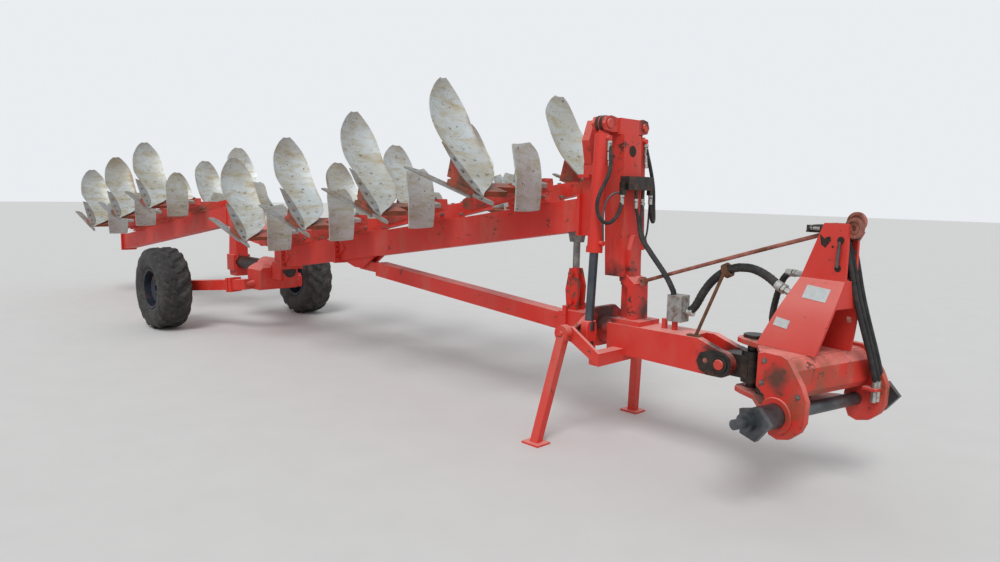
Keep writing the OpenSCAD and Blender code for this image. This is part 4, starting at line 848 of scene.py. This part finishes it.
def on_near_plate(x0, z0, x1, z1):
    """A thin blank plate on the tower's near side, from its low rear corner to its high front one."""
    x = np.array([[x0, x0 + 0.012], [x1, x1 + 0.012]])
    z = np.array([[z0, z1], [z0 - 0.010, z1 - 0.010]])
    face = -np.interp(z, TOWER[:, 0], TOWER[:, 3])
    return shell(head_grid(x, face - PLATE_STAND, z), head_grid(x, face + 0.001, z))


blanks = [on_near_plate(0.345, 1.085, 0.480, 1.150), on_near_plate(0.215, 0.925, 0.300, 0.968)]
build("tower_blank_plates", blanks, PALE_PLATE, "headstock", "bare_steel")
FRONT_TAB = [(-0.004, 1.010), (0.030, 1.004), (0.034, 0.975), (0.004, 0.980)]
build("tower_front_tab", [prism(FRONT_TAB, 0.541, 0.546, front_plate)], RUSTY_PINK, "headstock", "red_paint")


# Headstock frame: two thick cheeks with a lobe round the hitch shaft, the cross box between them,
# and the two lug plates that take the upright pin. Worn to pink and brown, it replaces its solid.
CHEEK = [(0.300, 0.812), (0.298, 0.640), (0.350, 0.606), (0.362, 0.560), (0.366, 0.470), (0.392, 0.412),
         (0.440, 0.400), (0.505, 0.418), (0.566, 0.470), (0.590, 0.520), (0.594, 0.627), (0.560, 0.700),
         (0.478, 0.812), (0.440, 0.824), (0.340, 0.824)]
CROSS_BOX = [(0.303, 0.602), (0.470, 0.602), (0.498, 0.640), (0.494, 0.752), (0.452, 0.800), (0.303, 0.800)]
NOSE = [(-0.085, -0.030), (-0.060, -0.072), (0.0, -0.098)]
BEARING = [(0.105, 0.519), (0.304, 0.519), (0.304, 0.776), (0.115, 0.776)]
CHEEK_BOLTS = [(0.335, 0.665), (0.345, 0.780), (0.545, 0.640)]
CHEEK_IN, CHEEK_OUT = 0.315, 0.347


def mirrored(half):
    """An outline from its right half, with the same points back along the left."""
    return half + [(x, -y) for x, y in half[::-1]]


LUG_PLATE = mirrored(NOSE + [(0.110, -0.120), (0.300, -0.325), (0.440, -0.325)])
LOW_PLATE = mirrored(NOSE + [(0.110, -0.130), (0.330, -0.325), (0.360, -0.325)])
parts = []
for side in (-1, 1):
    parts.append(flipped(prism(CHEEK, *sorted((side * CHEEK_IN, side * CHEEK_OUT)), side_plate)))
    parts.append(disc(at_headstock([0.430, side * 0.346, 0.520]), side * LEFT, 0.092, 0.012, 36, 0.060))
parts.append(flipped(prism(CROSS_BOX, -0.316, 0.316, side_plate)))
for outline, low, high in ((LUG_PLATE, 0.775, 0.8048), (LOW_PLATE, 0.490, 0.520),
                           (oblong(0.490, 0.568, 0.262, 0.360), 0.590, 0.610)):
    parts.append(prism(outline, low, high, at_headstock))
bearing = [flipped(prism(BEARING, -0.105, 0.105, side_plate)),
           flipped(prism(oblong(0.230, 0.304, 0.560, 0.776), -0.240, 0.240, side_plate))]
build("headstock_bearing", bearing, GREASY, "headstock", "dark_steel", angle=30, edge=0.006)
build("headstock_plates", parts, RED_HEAD, "headstock", "red_paint", "headstock_frame", angle=30, edge=0.004)
build("upright_pin_cap", [disc(at_headstock([0, 0, 0.803]), (0, 0, 1), 0.062, 0.020, 32)], GREASY,
      "headstock", "dark_steel", edge=0.003)
bolts("cheek_bolts", "headstock", [(at_headstock([x, side * 0.346, z]), side * LEFT)
                                   for side in (-1, 1) for x, z in CHEEK_BOLTS], 0.012)


# Drawbar: greasy black cheeks round the tip pin, with a bolt and the red end of the pin, and the
# grey valve that the hoses lead to. They are bolted or fitted on the red beam.
FORK = [(6.195, 0.640), (6.215, 0.690), (6.290, 0.716), (6.345, 0.715), (6.400, 0.690), (6.414, 0.640),
        (6.395, 0.590), (6.330, 0.566), (6.260, 0.568), (6.215, 0.592)]


def beam_plate(p):
    """(along, up, across) ahead of the axle made (along, across, up) in the row frame."""
    return np.stack([p[:, 0] - CENTRE_X, p[:, 2], p[:, 1]], -1)


parts, pin_ends = [], []
for side in (-1, 1):
    parts.append(flipped(prism(FORK, *sorted((side * 0.124, side * 0.131)), beam_plate)))
    parts.append(disc(row_points([6340, side * 130, 640]), (0, side, 0), 0.050, 0.010, 32, 0.034))
    pin_ends.append(disc(row_points([6340, side * 131, 640]), (0, side, 0), 0.031, 0.014, 28))
build("fork_cheeks", parts, GREASY, "drawbar", "dark_steel", edge=0.002)
bolts("fork_bolts", "drawbar",
      [(row_points([6252, side * 131, 650]), (0, side, 0)) for side in (-1, 1)], 0.012, RUSTY_PINK)
build("tip_pin_ends", pin_ends, RED_WORN, "drawbar", "red_paint", edge=0.004)
build("drawbar_valve", [prism(oblong(5929, 6029, -47, 47), 826, 989, row_points)], GREY_CAST, "drawbar",
      "dark_steel", edge=0.003, segments=3)


# Link rod: a thin red rod from the mast's foot to the tower's back, faded to a dusty pink.
# It has a forged eye at its lower end, and its upper end goes in between the tower's plates.
LINK_R = 0.0115
link = np.concatenate([row_points([[5716, 0, 1043], [6000, -20, 1137], [6400, -50, 1267]]),
                       [at_headstock([0.392, 0.0, 1.412])]])
build("link_rod", [tube_part(curve_rows(link, 25), LINK_R, 16, (0, 1, 0)),
                   disc(link[0] - [0, 0.014, 0], (0, 1, 0), 0.030, 0.028, 28, 0.012)],
      RUSTY_PINK, "drawbar", "red_paint", angle=50)


# Hose ends: crimped sleeves and hexagon nuts of plated steel at each end of every hose.
# The loops have a second nut and sleeve below their upper ports.
UP, DOWN = (0, 0, 1), (0, 0, -1)
END_STEPS = [(0.0, 0.016, 1.22, 6), (0.016, 0.022, 0.98, 16), (0.022, 0.060, 1.14, 16)]


def hose_end(place, direction, bore):
    """A lathe profile in steps: nut, neck and crimped sleeve, drawn along the hose from its end."""
    return [disc(place + np.asarray(direction) * start, direction, bore * wide, stop - start, sides)
            for start, stop, wide, sides in END_STEPS]


row_ends, head_ends = [], []
for y in VALVE_Y:
    row_ends += hose_end(row_points([5660, y, 1561]), DOWN, VALVE_D / 2)
for side in (-1, 1):
    row_ends += hose_end(row_points([5640, side * 155, 1586]), DOWN, LOOP_D / 2)
    row_ends += hose_end(row_points([5562, side * 197, 1913]), DOWN, 0.013)
    row_ends.append(disc(row_points([5564, side * 197, 1845]), (0.03, 0, -1), 0.0155, 0.050, 16))
    row_ends.append(disc(row_points([5569, side * 199, 1790]), (0.1, 0, -1), 0.0145, 0.030, 6))
for _, shift in TOWER_HOSES:
    head_ends += hose_end(at_headstock([0.551, 0.312 + shift, 0.590]), UP, TOWER_D / 2)
    head_ends += hose_end(at_headstock([0.326, shift, 1.441]), AHEAD, 0.012)
head_ends += hose_end(at_headstock([0.196, 0.060, 1.185]), -AHEAD, BACK_D / 2)
head_ends.append(disc(at_headstock([0.194, 0.060, 1.185]), AHEAD, 0.017, 0.140, 16))
for _, shift in TOWER_HOSES:
    head_ends.append(disc(at_headstock([0.551, 0.312 + shift, 0.533]), UP, 0.0145, 0.058, 6))
way = post_route[-1] - post_route[-2]
row_ends += hose_end(post_route[-1] + way * 0.2, -way / np.linalg.norm(way), 0.024)
row_ends.append(disc(post_route[-1], way, 0.020, 0.055, 6))
row_ends += hose_end(row_points([6025, 0, 895]), (1, 0, 0), 0.024)
for body, parts in (("drawbar", row_ends), ("headstock", head_ends)):
    build("hose_ends_" + body, parts, ZINC, body, "bare_steel", angle=30)


# Hose rest: a bent strap behind the tower's top that holds the three hoses' couplings.
# Two thin arms carry it from the tower's plates.
rest_parts = [prism(oblong(0.314, 0.328, -0.050, 0.050), 1.420, 1.454, at_headstock)]
for side in (-1, 1):
    rest_parts.append(prism(oblong(0.300, 0.420, side * 0.034, side * 0.030), 1.416, 1.424, at_headstock))
build("hose_rest", rest_parts, GREASY, "headstock", "dark_steel", angle=30, edge=0.003)


# Barrel tubes: thin bent steel tubes from the valve block down to the lower ports of the barrels.
# The left one mirrors the right one.
TUBE = np.array([[5627, -166, 1600], [5608, -196, 1592], [5588, -226, 1560], [5575, -244, 1500],
                 [5571, -246, 1420], [5570, -240, 1350], [5566, -232, 1305], [5560, -229, 1290]])
TUBE_R = 0.0065
parts = [tube_part(curve_rows(row_points(TUBE * [1, mirror, 1]), 43), TUBE_R, 10, (1, 0, 0))
         for mirror in (1, -1)]
build("barrel_tubes", parts, SHAFT, "drawbar", "dark_steel", angle=60)


# Cylinder ends: black worn rollers round the top eyes, the round pin heads before them, and
# a red clevis round each rod's lower eye, with a thin dark piece on its face, painted shade where its slot
# is.
EYE_Y, EYE_Z, EYE_R_OUT, ROD_Y, ROD_Z = 190, 2020, 0.048, 260, 700
CLEVIS_REAR, CLEVIS_FRONT, SLOT_DEEP = 5474, 5528, 2
CLEVIS = [(-47, -98), (45, -98), (50, 20), (50, 62), (38, 92), (-38, 92), (-50, 62), (-50, 20)]


def across_row(p):
    """(across, up, ahead) of the axle in millimetres made metres in the row frame."""
    return row_points(np.stack([p[:, 2], p[:, 0], p[:, 1]], -1))


rollers, heads = [], []
for body, side in (("right_rod", -1), ("left_rod", 1)):
    for x in (5471, 5503):
        rollers.append(disc(row_points([x, side * EYE_Y, EYE_Z]), (1, 0, 0), EYE_R_OUT + 0.0022, 0.026, 40,
                            EYE_R_OUT - 0.004))
    heads.append(disc(row_points([5551, side * EYE_Y, EYE_Z]), (1, 0, 0), 0.030, 0.013, 28))
    outline = [(side * ROD_Y + y, ROD_Z + z) for y, z in CLEVIS]
    build(body + "_clevis", [prism(outline, CLEVIS_REAR, CLEVIS_FRONT, across_row)], RED_YOKE, body,
          "red_paint", angle=30, edge=0.006, segments=3)
    slot = oblong(side * ROD_Y - 17, side * ROD_Y + 17, 606, 660)
    build(body + "_slot", [prism(slot, CLEVIS_FRONT, CLEVIS_FRONT + SLOT_DEEP, across_row)], HOLE_SHADE, body,
          "dark_steel")
build("barrel_rollers", rollers, GREASY, "drawbar", "dark_steel", edge=0.003)
build("mast_pin_heads", heads, RED_WORN, "drawbar", "red_paint", edge=0.004)


# Lifting hole: a round hole through the mast's front plate, high up, drawn as painted shade.
# A thin dark disc lies on the plate, which leans back a little.
build("mast_hole", [disc([3.9574, 0, 1.858], (1, 0, 0.049), 0.036, MARK_T, 32)], HOLE_SHADE, "drawbar",
      "dark_steel")
